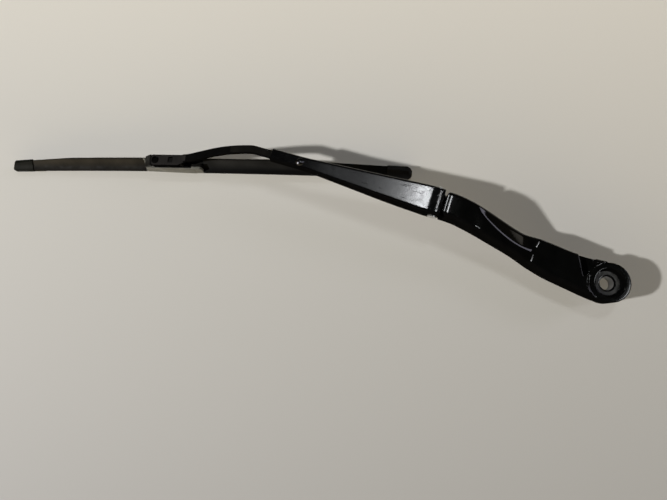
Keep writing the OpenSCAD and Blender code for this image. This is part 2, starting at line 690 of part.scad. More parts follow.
module end_cap(side, near) {
    tip = side > 0 ? blade_outer : blade_inner;
    inner = tip - side * cap_len;
    pocket_end = tip - side * (cap_nose + 0.7);
    rail_end = tip - side * 1.3;
    grow = cap_wall + run_gap;
    wide = near + grow;
    thin = far_half - end_taper + grow;
    color(black_moulded) on_blade() difference() {
        intersection() {
            arc_sweep(min(tip, inner), max(tip, inner)) polygon(spoiler_outline(grow, near));
            blade_ends(grow);
            translate([0, 0, -lip_depth - 2]) linear_extrude(height = 40)
                polygon([[inner - side, -thin - 3], [tip - side * 5, -thin - 0.6],
                    [tip - side * 1.4, 1.2 - thin], [tip + side * 0.1, 3 - thin],
                    [tip + side * 0.1, wide - 4], [tip - side * 1.4, wide - 1.2],
                    [tip - side * 5, wide + 1], [inner - side, wide + 1]]);
            side_prism(2 * wide + 2, 0) polygon([[inner - side, -lip_depth - 1],
                [tip + side, -lip_depth - 1], [tip + side, -lip_depth + 7],
                [tip - side * 1.5, -lip_depth + 10], [tip - side * cap_nose, -lip_depth + ridge_h + 0.8],
                [inner - side, -lip_depth + ridge_h + 4]]);
        }
        intersection() {
            arc_sweep(min(pocket_end, inner - side), max(pocket_end, inner - side))
                polygon(spoiler_outline(run_gap, near));
            blade_ends(run_gap);
        }
        intersection() {
            arc_sweep(min(rail_end, inner - side), max(rail_end, inner - side)) {
                translate([5.5, -rail_out - run_gap])
                    square([rail_z + rail_t + 0.9 - 5.5, 2 * (rail_out + run_gap)]);
                translate([3, -2.6]) square([4, 5.2]);
            }
            blade_ends(-0.95);
        }
    }
}
module end_cap_outer() {
    end_cap(1, near_outer);
}
module end_cap_inner() {
    end_cap(-1, near_inner);
}

// Connector: the base clamps the rails, and its cheeks hold the pin on which the adapter rocks
base_half = rail_out + 0.9;
base_reach = 17;
cheek_foot = 9;
cheek_in = adapter_half + 0.15 - 0.5;
cheek_out = tip_w / 2;
cover_from = -24;
cover_len = 46.5;
flank_top = 6.3;
bridge_outer = 8;
bridge_inner = 13.6;
block_len = 10;
module blade_base() {
    base_top = rail_z + rail_t + 2.1;
    eye_r = pivot_d / 2 + 2.1;
    color(black_moulded) on_blade() difference() {
        union() {
            arc_sweep(-base_reach, base_reach) difference() {
                translate([5.3, -base_half]) square([base_top - 5.3, 2 * base_half]);
                rail_channel();
            }
            for (side = [-1, 1]) {
                wide = cheek_out - cheek_in;
                mid = side * (cheek_in + cheek_out) / 2;
                translate([0, mid, pivot_z]) rotate([90, 0, 0]) across(wide, eye_r);
                side_prism(wide, mid) polygon([[-cheek_foot, lip_z + base_top - 0.6],
                    [cheek_foot, lip_z + base_top - 0.6], [eye_r - 0.2, pivot_z], [0.2 - eye_r, pivot_z]]);
            }
        }
        translate([0, 0, pivot_z]) rotate([90, 0, 0]) across(tip_w + 1, pivot_d / 2 + fit_gap);
    }
}
module blade_pivot_pin() {
    color(bare_steel) on_blade() translate([0, 0, pivot_z]) rotate([90, 0, 0])
        across(2 * cheek_out, pivot_d / 2);
}
module connector_cover() {
    near_in = tip_w / 2 + side_gap;
    low = lip_z + 5.4;
    color([0.3, 0.3, 0.29]) on_blade() difference() {
        union() {
            translate([cover_from, 0, 0]) rotate([90, 0, 90]) linear_extrude(height = cover_len)
                polygon([[near_in, flank_top], [near_in + 0.9, flank_top], [near_in + 1.3, flank_top - 0.7],
                    [near_in + 2.2, low], [near_in + 0.7, low], [near_in, low + 2]]);
            translate([cover_from, 0, 0]) rotate([90, 0, 90]) linear_extrude(height = cover_len)
                polygon([[-near_in, flank_top - 1.7], [-near_in - 0.8, flank_top - 1.7],
                    [-near_in - 0.9, low], [-near_in, low]]);
            translate([spoiler_start - bridge_outer - 0.2, -near_in - 0.4, low])
                cube([bridge_outer, 2 * near_in + 1.6, 3.4]);
            translate([spoiler_stop + 0.2, -near_in - 0.9, low])
                cube([bridge_inner, 2 * near_in + 2.8, 4.2]);
            translate([spoiler_stop + 0.2, 0, 0]) side_prism(5, near_in - 1.2)
                polygon([[0, low + 1], [block_len, low + 1], [block_len, flank_top - 0.7],
                    [block_len - 1.4, flank_top + 0.5], [1.4, flank_top + 0.5], [0, flank_top - 0.7]]);
        }
        arc_sweep(spoiler_stop - 1, spoiler_start + 1) rail_channel();
        translate([0, 0, low - 1]) linear_extrude(height = 2 * flank_top)
            polygon([[cover_from - bridge_inner, near_inner + 0.4], [cover_from, near_inner + 0.4],
                [cover_from + cover_len + 4, near_outer], [cover_from + cover_len + 4, near_inner + 4],
                [cover_from - bridge_inner, near_inner + 4]]);
    }
}

mounting_head();
hinge_bush(1);  // hinge_bush_far
hinge_bush(-1);  // hinge_bush_near
spring_anchor_pin();
hinge_pin();
arm_retainer();
retainer_rivet();
arm_rod();
spring_hook();
tension_spring();
adapter();
release_button();
blade_base();
blade_pivot_pin();
connector_cover();
spring_rail_front();
spring_rail_rear();
wiping_rubber();
spoiler_outer();
spoiler_inner();
end_cap_outer();
end_cap_inner();
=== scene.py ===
"""Looks of a wiper arm: gloss black head and arm, satin rod, and a flat blade with soft spoilers.

Every size is in metres in the part's own frame: x along the arm, y towards the head's bulging
side, z up the spindle bore from the hub's seat.
"""

import json
import logging
import math
from dataclasses import dataclass
from enum import Enum
from typing import Sequence

import bmesh
import bpy
import numpy as np
from mathutils import Matrix, Vector

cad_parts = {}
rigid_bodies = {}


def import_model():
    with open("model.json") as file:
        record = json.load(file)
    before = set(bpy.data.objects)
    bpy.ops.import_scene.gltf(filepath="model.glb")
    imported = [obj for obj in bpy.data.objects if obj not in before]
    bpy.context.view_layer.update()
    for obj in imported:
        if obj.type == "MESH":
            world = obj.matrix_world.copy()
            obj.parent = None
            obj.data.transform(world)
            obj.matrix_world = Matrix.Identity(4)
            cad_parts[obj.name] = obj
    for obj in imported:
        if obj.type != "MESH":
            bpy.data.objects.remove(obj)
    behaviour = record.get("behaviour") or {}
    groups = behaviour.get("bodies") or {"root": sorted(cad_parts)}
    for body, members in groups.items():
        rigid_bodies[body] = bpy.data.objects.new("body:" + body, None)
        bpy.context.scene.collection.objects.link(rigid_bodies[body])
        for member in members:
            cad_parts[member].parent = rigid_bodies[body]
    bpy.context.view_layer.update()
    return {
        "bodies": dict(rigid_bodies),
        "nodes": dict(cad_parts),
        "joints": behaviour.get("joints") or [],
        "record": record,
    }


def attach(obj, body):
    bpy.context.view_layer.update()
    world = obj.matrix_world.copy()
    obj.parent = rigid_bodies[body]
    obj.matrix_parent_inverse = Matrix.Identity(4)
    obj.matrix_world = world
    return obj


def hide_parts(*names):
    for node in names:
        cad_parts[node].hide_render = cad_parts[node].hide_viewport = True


log = logging.getLogger("wiper_arm")

MM = 0.001
Point = tuple[float, float]
Place = tuple[float, float, float]
Colour = tuple[float, float, float]
Socket = bpy.types.NodeSocket


class Body(Enum):
    """The bodies that the pieces ride on."""

    HEAD = "head"
    ARM = "arm"
    LINK = "spring_link"
    LATCH = "latch"
    BLADE = "blade"


class Edge(Enum):
    """How the faces of a piece meet in its shading."""

    SMOOTH = 180.0
    CRISP = 28.0


@dataclass(frozen=True)
class Finish:
    """A surface made of one principled shader with fine colour, gloss and relief variation.

    Sizes of the variation are in millimetres.
    """

    name: str
    colour: Colour
    roughness: float
    metallic: float = 0.0
    specular: float = 0.5
    mottle: float = 0.15
    mottle_size: float = 9.0
    gloss_swing: float = 0.08
    gloss_size: float = 5.0
    grain: float = 0.05
    grain_size: float = 0.5
    grain_depth: float = 0.05
    scratches: float = 0.0
    scratch_gloss: float = 0.18
    dust: float = 0.0
    dust_colour: Colour = (0.35, 0.34, 0.31)
    dust_gloss: float = 0.4
    speck_size: float = 0.55
    patch_size: float = 14.0
    # Strength of the painted shade, read from the mesh's painted_shade attribute.
    low_shade: float = 0.0

    def build(self) -> bpy.types.Material:
        """Makes the node tree of the finish.

        Returns:
            The finished material.
        """
        mat = bpy.data.materials.new(self.name)
        mat.use_nodes = True
        tree = mat.node_tree
        tree.nodes.clear()
        kit = ShaderKit(tree)
        shader = tree.nodes.new("ShaderNodeBsdfPrincipled")
        out = tree.nodes.new("ShaderNodeOutputMaterial")
        tree.links.new(shader.outputs["BSDF"], out.inputs["Surface"])
        shader.inputs["Metallic"].default_value = self.metallic
        shader.inputs["Specular IOR Level"].default_value = self.specular
        place = kit.place()
        cloud = kit.noise(place, 1.0 / (self.mottle_size * MM), detail=4.0)
        dark = tuple(c * (1.0 - self.mottle) for c in self.colour)
        light = tuple(c * (1.0 + self.mottle) for c in self.colour)
        colour = kit.ramp(cloud, [(0.32, dark), (0.68, light)])
        # Painted shade: darkens the colour towards black by the mesh's painted_shade attribute.
        if self.low_shade > 0.0:
            share = kit.math("MULTIPLY", kit.attribute("painted_shade"), self.low_shade)
            colour = kit.mix(share, colour, (0.0, 0.0, 0.0))
        sheen = kit.noise(place, 1.0 / (self.gloss_size * MM), detail=3.0)
        low = max(0.02, self.roughness - self.gloss_swing)
        rough = kit.remap(sheen, 0.3, 0.7, low, self.roughness + self.gloss_swing)
        height = kit.noise(place, 1.0 / (self.grain_size * MM), detail=2.0)
        if self.dust > 0.0:
            colour, rough = self.dusted(kit, place, colour, rough)
        normal = kit.bump(height, self.grain, self.grain_depth * MM)
        if self.scratches > 0.0:
            normal, rough = self.scratched(kit, place, normal, rough)
        tree.links.new(colour, shader.inputs["Base Color"])
        tree.links.new(rough, shader.inputs["Roughness"])
        tree.links.new(normal, shader.inputs["Normal"])
        return mat

    def dusted(self, kit: "ShaderKit", place: Socket, colour: Socket,
               rough: Socket) -> tuple[Socket, Socket]:
        """Adds fine pale specks, duller than the surface under them.

        Args:
            kit: Helper that adds nodes to the tree.
            place: Socket with the position.
            colour: Socket with the colour so far.
            rough: Socket with the roughness so far.

        Returns:
            The new colour and roughness sockets.
        """
        specks = kit.noise(place, 1.0 / (self.speck_size * MM), detail=3.0)
        patches = kit.noise(place, 1.0 / (self.patch_size * MM), detail=2.0)
        mask = kit.remap(specks, 0.62, 0.72, 0.0, 1.0)
        where = kit.remap(patches, 0.4, 0.65, 0.15, 1.0)
        share = kit.math("MULTIPLY", kit.math("MULTIPLY", mask, where), self.dust)
        duller = kit.math("ADD", rough, kit.math("MULTIPLY", share, self.dust_gloss))
        return kit.mix(share, colour, self.dust_colour), duller

    def scratched(self, kit: "ShaderKit", place: Socket, normal: Socket,
                  rough: Socket) -> tuple[Socket, Socket]:
        """Adds fine handling scratches that run mostly along the arm.

        Args:
            kit: Helper that adds nodes to the tree.
            place: Socket with the position.
            normal: Socket with the relief so far.
            rough: Socket with the roughness so far.

        Returns:
            The new normal and roughness sockets.
        """
        along = kit.stretch(place, (18.0, 260.0, 260.0), (0.0, 0.0, 0.5))
        lines = kit.noise(along, 6.0, detail=5.0)
        mask = kit.remap(lines, 0.66, 0.7, 0.0, 1.0)
        cut = kit.bump(mask, self.scratches, 0.02 * MM, normal, invert=True)
        return cut, kit.math("ADD", rough, kit.math("MULTIPLY", mask, self.scratch_gloss))


class ShaderKit:
    """Adds nodes to one material's tree."""

    def __init__(self, tree: bpy.types.NodeTree) -> None:
        """Keeps the tree that the nodes go into."""
        self.tree = tree

    def place(self) -> Socket:
        """Returns the object position, which is the place in the part's frame."""
        return self.tree.nodes.new("ShaderNodeTexCoord").outputs["Object"]

    def attribute(self, name: str) -> Socket:
        """Reads an attribute that the mesh carries.

        Args:
            name: Name of the attribute.

        Returns:
            The socket with its value.
        """
        node = self.tree.nodes.new("ShaderNodeAttribute")
        node.attribute_name = name
        return node.outputs["Fac"]

    def stretch(self, place: Socket, scale: Sequence[float], turn: Sequence[float]) -> Socket:
        """Turns and scales a position.

        Args:
            place: Socket with the position.
            scale: Scale along each axis.
            turn: Rotation about each axis, in radians.

        Returns:
            The socket with the new position.
        """
        node = self.tree.nodes.new("ShaderNodeMapping")
        node.inputs["Scale"].default_value = scale
        node.inputs["Rotation"].default_value = turn
        self.tree.links.new(place, node.inputs["Vector"])
        return node.outputs["Vector"]

    def noise(self, place: Socket, scale: float, detail: float = 2.0) -> Socket:
        """Adds a noise.

        Args:
            place: Socket with the position.
            scale: Scale of the noise, per metre.
            detail: How many finer layers it has.

        Returns:
            The socket with its value.
        """
        node = self.tree.nodes.new("ShaderNodeTexNoise")
        node.inputs["Scale"].default_value = scale
        node.inputs["Detail"].default_value = detail
        self.tree.links.new(place, node.inputs["Vector"])
        return node.outputs["Fac"]

    def ramp(self, value: Socket, stops: Sequence[tuple[float, Colour]]) -> Socket:
        """Turns a value into a colour that runs through the stops.

        Args:
            value: Socket with the value.
            stops: Place and colour of each stop, in rising order.

        Returns:
            The socket with the colour.
        """
        node = self.tree.nodes.new("ShaderNodeValToRGB")
        marks = node.color_ramp.elements
        for mark, (at, colour) in zip(marks, (stops[0], stops[-1])):
            mark.position = at
            mark.color = (*colour, 1.0)
        for at, colour in stops[1:-1]:
            marks.new(at).color = (*colour, 1.0)
        self.tree.links.new(value, node.inputs["Fac"])
        return node.outputs["Color"]

    def remap(self, value: Socket, low: float, high: float, to_low: float, to_high: float) -> Socket:
        """Maps one span of a value onto another, and holds it at the ends.

        Args:
            value: Socket with the value.
            low: Start of the span.
            high: End of the span.
            to_low: Result at its start.
            to_high: Result at its end.

        Returns:
            The socket with the result.
        """
        node = self.tree.nodes.new("ShaderNodeMapRange")
        node.inputs["From Min"].default_value = low
        node.inputs["From Max"].default_value = high
        node.inputs["To Min"].default_value = to_low
        node.inputs["To Max"].default_value = to_high
        self.tree.links.new(value, node.inputs["Value"])
        return node.outputs["Result"]

    def math(self, kind: str, first: Socket | float, second: Socket | float) -> Socket:
        """Works out a sum, product or the like.

        Args:
            kind: Kind of the operation.
            first: First socket or number.
            second: Second socket or number.

        Returns:
            The socket with the result.
        """
        node = self.tree.nodes.new("ShaderNodeMath")
        node.operation = kind
        for slot, value in enumerate((first, second)):
            if isinstance(value, (int, float)):
                node.inputs[slot].default_value = value
            else:
                self.tree.links.new(value, node.inputs[slot])
        return node.outputs["Value"]

    def mix(self, share: Socket, colour: Socket, other: Colour) -> Socket:
        """Mixes another colour into a colour.

        Args:
            share: Socket with the other colour's share.
            colour: Socket with the colour.
            other: The other colour.

        Returns:
            The socket with the mixed colour.
        """
        node = self.tree.nodes.new("ShaderNodeMix")
        node.data_type = "RGBA"
        self.tree.links.new(share, node.inputs["Factor"])
        self.tree.links.new(colour, node.inputs["A"])
        node.inputs["B"].default_value = (*other, 1.0)
        return node.outputs["Result"]

    def bump(self, height: Socket, strength: float, depth: float, under: Socket | None = None,
             invert: bool = False) -> Socket:
        """Adds fine relief on top of what is under it.

        Args:
            height: Socket with the height.
            strength: Strength of the relief.
            depth: Depth of the relief, in metres.
            under: Socket with the normal that the relief lies on.
            invert: Whether the relief is cut in.

        Returns:
            The socket with the normal.
        """
        node = self.tree.nodes.new("ShaderNodeBump")
        node.inputs["Strength"].default_value = strength
        node.inputs["Distance"].default_value = depth
        node.invert = invert
        self.tree.links.new(height, node.inputs["Height"])
        if under is not None:
            self.tree.links.new(under, node.inputs["Normal"])
        return node.outputs["Normal"]


@dataclass(frozen=True)
class Finishes:
    """All finishes of the arm and the blade."""

    gloss_paint: Finish = Finish(
        "gloss_paint", (0.0024, 0.0026, 0.0025), 0.07, mottle=0.2, grain=0.3, grain_size=0.9,
        grain_depth=0.006, dust=0.012, gloss_swing=0.015, specular=0.25)
    arm_paint: Finish = Finish(
        "arm_paint", (0.0026, 0.0027, 0.003), 0.14, mottle=0.2, grain=0.8, grain_size=1.1,
        grain_depth=0.03, scratches=0.5, dust=0.03, gloss_swing=0.04)
    wall_paint: Finish = Finish(
        "wall_paint", (0.003, 0.003, 0.003), 0.5, mottle=0.2, grain=0.4, grain_size=0.9,
        grain_depth=0.02, specular=0.0)
    worn_seat: Finish = Finish(
        "worn_seat", (0.036, 0.036, 0.034), 0.45, mottle=0.5, mottle_size=4.0, grain=0.6,
        grain_size=0.7, grain_depth=0.05, metallic=0.3)
    satin_paint: Finish = Finish(
        "satin_paint", (0.0045, 0.0042, 0.0034), 0.4, mottle=0.3, grain=0.4, grain_size=0.35,
        grain_depth=0.03, dust=0.03, specular=0.1)
    tip_paint: Finish = Finish(
        "tip_paint", (0.013, 0.0122, 0.0115), 0.5, mottle=0.25, grain=0.6, grain_size=0.35,
        grain_depth=0.04, dust=0.05, specular=0.12)
    cast_metal: Finish = Finish(
        "cast_metal", (0.3, 0.3, 0.3), 0.5, metallic=0.8, mottle=0.2, grain=0.5, grain_size=0.4,
        grain_depth=0.03)
    bright_steel: Finish = Finish(
        "bright_steel", (0.6, 0.6, 0.61), 0.28, metallic=1.0, mottle=0.08, grain=0.3,
        grain_size=0.3, grain_depth=0.02)
    rivet_steel: Finish = Finish(
        "rivet_steel", (0.07, 0.07, 0.078), 0.2, metallic=1.0, mottle=0.08, grain=0.2,
        grain_size=0.3, grain_depth=0.02)
    spring_steel: Finish = Finish(
        "spring_steel", (0.2, 0.2, 0.2), 0.36, metallic=1.0, mottle=0.15, grain=0.3,
        grain_size=0.3, grain_depth=0.02)
    moulded_black: Finish = Finish(
        "moulded_black", (0.005, 0.0048, 0.0042), 0.45, mottle=0.15, grain=0.6, grain_size=0.28,
        grain_depth=0.04, dust=0.02, specular=0.1)
    # Near black, darker than the other mouldings: painted shade of the hole that the button sits in.
    button_shaded_plastic: Finish = Finish(
        "button_shaded_plastic", (0.0015, 0.0015, 0.0012), 0.5, mottle=0.1, grain=0.4, grain_size=0.28,
        grain_depth=0.03, specular=0.03)
    cap_plastic: Finish = Finish(
        "cap_plastic", (0.006, 0.0062, 0.0045), 0.5, mottle=0.2, grain=0.5, grain_size=0.28,
        grain_depth=0.03, dust=0.01, specular=0.04)
    moulded_grey: Finish = Finish(
        "moulded_grey", (0.125, 0.124, 0.11), 0.45, mottle=0.2, grain=0.5, grain_size=0.3,
        grain_depth=0.03, dust=0.08, specular=0.25)
    bush_plastic: Finish = Finish(
        "bush_plastic", (0.06, 0.06, 0.058), 0.5, mottle=0.1, grain=0.4, grain_size=0.3)
    soft_black: Finish = Finish(
        "soft_black", (0.0255, 0.0223, 0.0173), 0.5, mottle=0.3, mottle_size=22.0, grain=0.5,
        grain_size=0.25, grain_depth=0.03, gloss_swing=0.07, dust=0.03, specular=0.04,
        low_shade=0.75)
    # A darker copy of soft_black for the inner spoiler, with stronger painted shade.
    soft_dark: Finish = Finish(
        "soft_dark", (0.0165, 0.0165, 0.016), 0.5, mottle=0.3, mottle_size=22.0, grain=0.5,
        grain_size=0.25, grain_depth=0.03, gloss_swing=0.07, dust=0.02, specular=0.04,
        low_shade=0.85)
    lip_rubber: Finish = Finish(
        "lip_rubber", (0.012, 0.012, 0.012), 0.6, mottle=0.2, grain=0.6, grain_size=0.2)


def bend_at(x: float, at: float, r: float) -> float:
    """Follows a line that is level up to a place and then rises at 1 to 1.

    Args:
        x: Where on the line.
        at: Where it bends.
        r: How far before and after the bend it is rounded.

    Returns:
        The height of the line.
    """
    if x <= at - r:
        return 0.0
    if x >= at + r:
        return x - at
    return (x - at + r) ** 2 / (4.0 * r)


def rise(x: float, start: float, stop: float, r1: float, r2: float) -> float:
    """Returns a ramp from 0 to 1 between two places, with a rounded bend at each."""
    return (bend_at(x, start, r1) - bend_at(x, stop, r2)) / (stop - start)


def arc(y: float, z: float, r: float, start: float, stop: float, n: int) -> list[Point]:
    """Returns points on an arc about (y, z), from start to stop in degrees."""
    turns = np.radians(np.linspace(start, stop, n + 1))
    return [(y + r * math.cos(a), z + r * math.sin(a)) for a in turns]


def new_object(name: str, mesh: bpy.types.Mesh) -> bpy.types.Object:
    """Makes an object and links it to the scene.

    Args:
        name: Name of the object.
        mesh: Its mesh.

    Returns:
        The object.
    """
    obj = bpy.data.objects.new(name, mesh)
    bpy.context.scene.collection.objects.link(obj)
    return obj


def loft(name: str, rings: Sequence[Sequence[Sequence[float]]]) -> bpy.types.Object:
    """Makes a closed skin through rings of equal point count, with its ends closed.

    Args:
        name: Name of the object.
        rings: Rings of points in millimetres, each running the same way round.

    Returns:
        The object, with its normals outwards.
    """
    bm = bmesh.new()
    grid = [[bm.verts.new([c * MM for c in p]) for p in ring] for ring in rings]
    count = len(grid[0])
    for near, far in zip(grid, grid[1:]):
        for k in range(count):
            bm.faces.new((near[k], near[(k + 1) % count], far[(k + 1) % count], far[k]))
    for ring in (grid[0], grid[-1]):
        bm.faces.new(ring)
    bmesh.ops.triangulate(bm, faces=[f for f in bm.faces if len(f.verts) > 4])
    bmesh.ops.remove_doubles(bm, verts=bm.verts, dist=1e-7)
    bmesh.ops.recalc_face_normals(bm, faces=bm.faces)
    mesh = bpy.data.meshes.new(name)
    bm.to_mesh(mesh)
    bm.free()
    return new_object(name, mesh)


def drum(name: str, at: Sequence[float], axis: Sequence[float], r: float, length: float,
         n: int = 96) -> bpy.types.Object:
    """Makes a closed cylinder that starts at a point and runs along an axis.

    Args:
        name: Name of the object.
        at: Centre of the first face, in millimetres.
        axis: Direction of the axis.
        r: Radius, in millimetres.
        length: Length, in millimetres.
        n: Number of sides.

    Returns:
        The object.
    """
    turn = Vector((0, 0, 1)).rotation_difference(Vector(axis)).to_matrix()
    rings = []
    for z in (0.0, length):
        ring = []
        for a in np.linspace(0, 2 * math.pi, n, endpoint=False):
            p = turn @ Vector((r * math.cos(a), r * math.sin(a), z))
            ring.append([p[i] + at[i] for i in range(3)])
        rings.append(ring)
    return loft(name, rings)


def prism(name: str, outline: Sequence[Point], z0: float, z1: float) -> bpy.types.Object:
    """Makes an upright solid from an outline seen from above, in millimetres."""
    return loft(name, [[(x, y, z) for x, y in outline] for z in (z0, z1)])


def side_prism(name: str, outline: Sequence[Point], y0: float, y1: float) -> bpy.types.Object:
    """Makes a solid from an outline seen from the side, from y0 to y1, in millimetres."""
    return loft(name, [[(x, y, z) for x, z in outline] for y in (y0, y1)])


def merged(frame: dict, node: str, name: str) -> bpy.types.Object:
    """Copies a node's own mesh and joins its loose triangles.

    Args:
        frame: The loaded frame.
        node: Name of the node.
        name: Name of the new object.

    Returns:
        The new object.
    """
    mesh = frame["nodes"][node].data.copy()
    bm = bmesh.new()
    bm.from_mesh(mesh)
    bmesh.ops.remove_doubles(bm, verts=bm.verts, dist=2e-6)
    bm.to_mesh(mesh)
    bm.free()
    mesh.materials.clear()
    return new_object(name, mesh)


def settle(obj: bpy.types.Object) -> bpy.types.Object:
    """Turns an object's modifiers into its plain mesh.

    Args:
        obj: Object with modifiers.

    Returns:
        The same object, with no modifier left.
    """
    bpy.context.view_layer.update()
    shown = obj.evaluated_get(bpy.context.evaluated_depsgraph_get())
    mesh = bpy.data.meshes.new_from_object(shown)
    obj.modifiers.clear()
    old = obj.data
    obj.data = mesh
    mesh.name = obj.name
    if isinstance(old, bpy.types.Mesh):
        bpy.data.meshes.remove(old)
    return obj


def combine(obj: bpy.types.Object, tool: bpy.types.Object, how: str) -> bpy.types.Object:
    """Adds a tool object to an object or cuts it away, and removes the tool.

    Args:
        obj: Object to change.
        tool: Closed object.
        how: UNION, DIFFERENCE or INTERSECT.

    Returns:
        The changed object.
    """
    step = obj.modifiers.new("form", "BOOLEAN")
    step.operation = how
    step.solver = "MANIFOLD"
    step.object = tool
    settle(obj)
    bpy.data.objects.remove(tool)
    return obj


def softened(obj: bpy.types.Object, voxel: float, rounds: int) -> bpy.types.Object:
    """Rounds every edge a little, as casting, moulding or paint does.

    Args:
        obj: Closed object.
        voxel: Size of the new faces, in millimetres.
        rounds: Number of smoothing rounds.

    Returns:
        The same object with its new skin.
    """
    skin = obj.modifiers.new("skin", "REMESH")
    skin.mode = "VOXEL"
    skin.voxel_size = voxel * MM
    skin.use_smooth_shade = True
    smooth = obj.modifiers.new("round", "SMOOTH")
    smooth.factor = 0.5
    smooth.iterations = rounds
    return settle(obj)


def shade(obj: bpy.types.Object, edge: Edge) -> bpy.types.Object:
    """Shades an object smooth, apart from edges sharper than the given kind.

    Args:
        obj: Object to shade.
        edge: How its faces meet.

    Returns:
        The same object.
    """
    mesh = obj.data
    mesh.polygons.foreach_set("use_smooth", [True] * len(mesh.polygons))
    if edge is not Edge.SMOOTH:
        bm = bmesh.new()
        bm.from_mesh(mesh)
        limit = math.radians(edge.value)
        for e in bm.edges:
            e.smooth = len(e.link_faces) != 2 or e.calc_face_angle(0.0) < limit
        bm.to_mesh(mesh)
        bm.free()
    mesh.update()
    return obj


def face_data(mesh: bpy.types.Mesh, kind: str) -> np.ndarray:
    """Reads one vector of each face of a mesh.

    Args:
        mesh: The mesh.
        kind: Either normal or center.

    Returns:
        One row for each face.
    """
    found = np.empty(3 * len(mesh.polygons), dtype=np.float32)
    mesh.polygons.foreach_get(kind, found)
    return found.reshape(-1, 3)


def paint_faces(obj: bpy.types.Object, finish: bpy.types.Material, chosen: np.ndarray) -> None:
    """Gives the chosen faces of a piece another finish than the rest.

    Args:
        obj: Finished piece.
        finish: The material of the chosen faces.
        chosen: One truth value for each face.
    """
    mesh = obj.data
    index = np.zeros(len(mesh.polygons), dtype=np.int32)
    mesh.polygons.foreach_get("material_index", index)
    mesh.materials.append(finish)
    index[chosen] = len(mesh.materials) - 1
    mesh.polygons.foreach_set("material_index", index)
    mesh.update()


def coat_walls(obj: bpy.types.Object, finish: bpy.types.Material) -> None:
    """Gives the near side and the end faces of a painted piece their thinner, duller coat.

    Args:
        obj: Finished piece.
        finish: The material of the duller coat.
    """
    facing = face_data(obj.data, "normal")
    _, near, up = facing.T
    paint_faces(obj, finish, (near > 0.06) & (up > -0.5) | (near > -0.3) & (np.abs(up) < 0.42))


def dress(obj: bpy.types.Object, finish: bpy.types.Material, body: Body, slot: str,
          *nodes: str) -> bpy.types.Object:
    """Gives a finished piece its material, its body and the nodes that it stands for.

    Args:
        obj: Finished piece.
        finish: Its material.
        body: The body that it rides on.
        slot: The record's material slot; not used.
        nodes: Nodes that it replaces.

    Returns:
        The piece.
    """
    obj.data.materials.clear()
    obj.data.materials.append(finish)
    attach(obj, body.value)
    if nodes:
        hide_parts(*nodes)
    log.info("%s: %d faces", obj.name, len(obj.data.polygons))
    return obj


def repaint(frame: dict, finish: bpy.types.Material, *nodes: str) -> None:
    """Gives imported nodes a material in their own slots.

    Args:
        frame: The loaded frame.
        finish: The material.
        nodes: Names of the nodes.
    """
    for name in nodes:
        node = frame["nodes"][name]
        if not node.material_slots:
            node.data.materials.append(finish)
        for part in node.material_slots:
            part.material = finish
        log.info("%s: keeps its own form", name)


class Trail:
    """Builds small Geometry Nodes trees that lay a profile or copies along a path."""

    def __init__(self, name: str) -> None:
        """Starts an empty tree with a mesh in and out.

        Args:
            name: Name of the tree.
        """
        self.tree = bpy.data.node_groups.new(name, "GeometryNodeTree")
        face = self.tree.interface
        face.new_socket("Geometry", in_out="INPUT", socket_type="NodeSocketGeometry")
        face.new_socket("Geometry", in_out="OUTPUT", socket_type="NodeSocketGeometry")
        self.source = self.tree.nodes.new("NodeGroupInput")
        self.sink = self.tree.nodes.new("NodeGroupOutput")

    def number(self, name: str, kind: str = "NodeSocketFloat") -> None:
        """Adds a named input, whose identifier a modifier sets."""
        self.tree.interface.new_socket(name, in_out="INPUT", socket_type=kind)

    def node(self, kind: str, **inputs: object) -> bpy.types.Node:
        """Adds a node.

        Args:
            kind: Type of the node.
            inputs: Links or values for its named inputs.

        Returns:
            The node.
        """
        made = self.tree.nodes.new(kind)
        for key, value in inputs.items():
            socket = made.inputs[key.replace("_", " ")]
            if isinstance(value, bpy.types.NodeSocket):
                self.tree.links.new(value, socket)
            else:
                socket.default_value = value
        return made

    def close(self, geometry: Socket, finish_input: str = "Finish") -> None:
        """Ends the tree in Realize Instances and Set Material.

        Args:
            geometry: Socket with the finished geometry.
            finish_input: Name of the input that holds the material.
        """
        real = self.node("GeometryNodeRealizeInstances", Geometry=geometry)
        dressed = self.node("GeometryNodeSetMaterial", Geometry=real.outputs["Geometry"],
                            Material=self.source.outputs[finish_input])
        self.tree.links.new(dressed.outputs["Geometry"], self.sink.inputs["Geometry"])

    def apply(self, obj: bpy.types.Object, values: dict[str, object]) -> bpy.types.Object:
        """Runs the tree on an object and keeps the result as a plain mesh.

        Args:
            obj: Object whose mesh feeds the tree.
            values: Named inputs and their values.

        Returns:
            The object.
        """
        step = obj.modifiers.new(self.tree.name, "NODES")
        step.node_group = self.tree
        for item in self.tree.interface.items_tree:
            if item.item_type == "SOCKET" and item.in_out == "INPUT" and item.name in values:
                step[item.identifier] = values[item.name]
        return settle(obj)


def wire_tree() -> Trail:
    """Makes the tree that lays a round wire along the edges of a path.

    Returns:
        The tree, with the inputs Radius, Sides and Finish.
    """
    trail = Trail("wire_along_path")
    trail.number("Radius")
    trail.number("Sides", "NodeSocketInt")
    trail.number("Finish", "NodeSocketMaterial")
    ring = trail.node("GeometryNodeCurvePrimitiveCircle", Resolution=trail.source.outputs["Sides"],
                      Radius=trail.source.outputs["Radius"])
    path = trail.node("GeometryNodeMeshToCurve", Mesh=trail.source.outputs["Geometry"])
    tube = trail.node("GeometryNodeCurveToMesh", Curve=path.outputs["Curve"],
                      Profile_Curve=ring.outputs["Curve"], Fill_Caps=True)
    smooth = trail.node("GeometryNodeSetShadeSmooth", Geometry=tube.outputs["Mesh"])
    trail.close(smooth.outputs["Geometry"])
    return trail


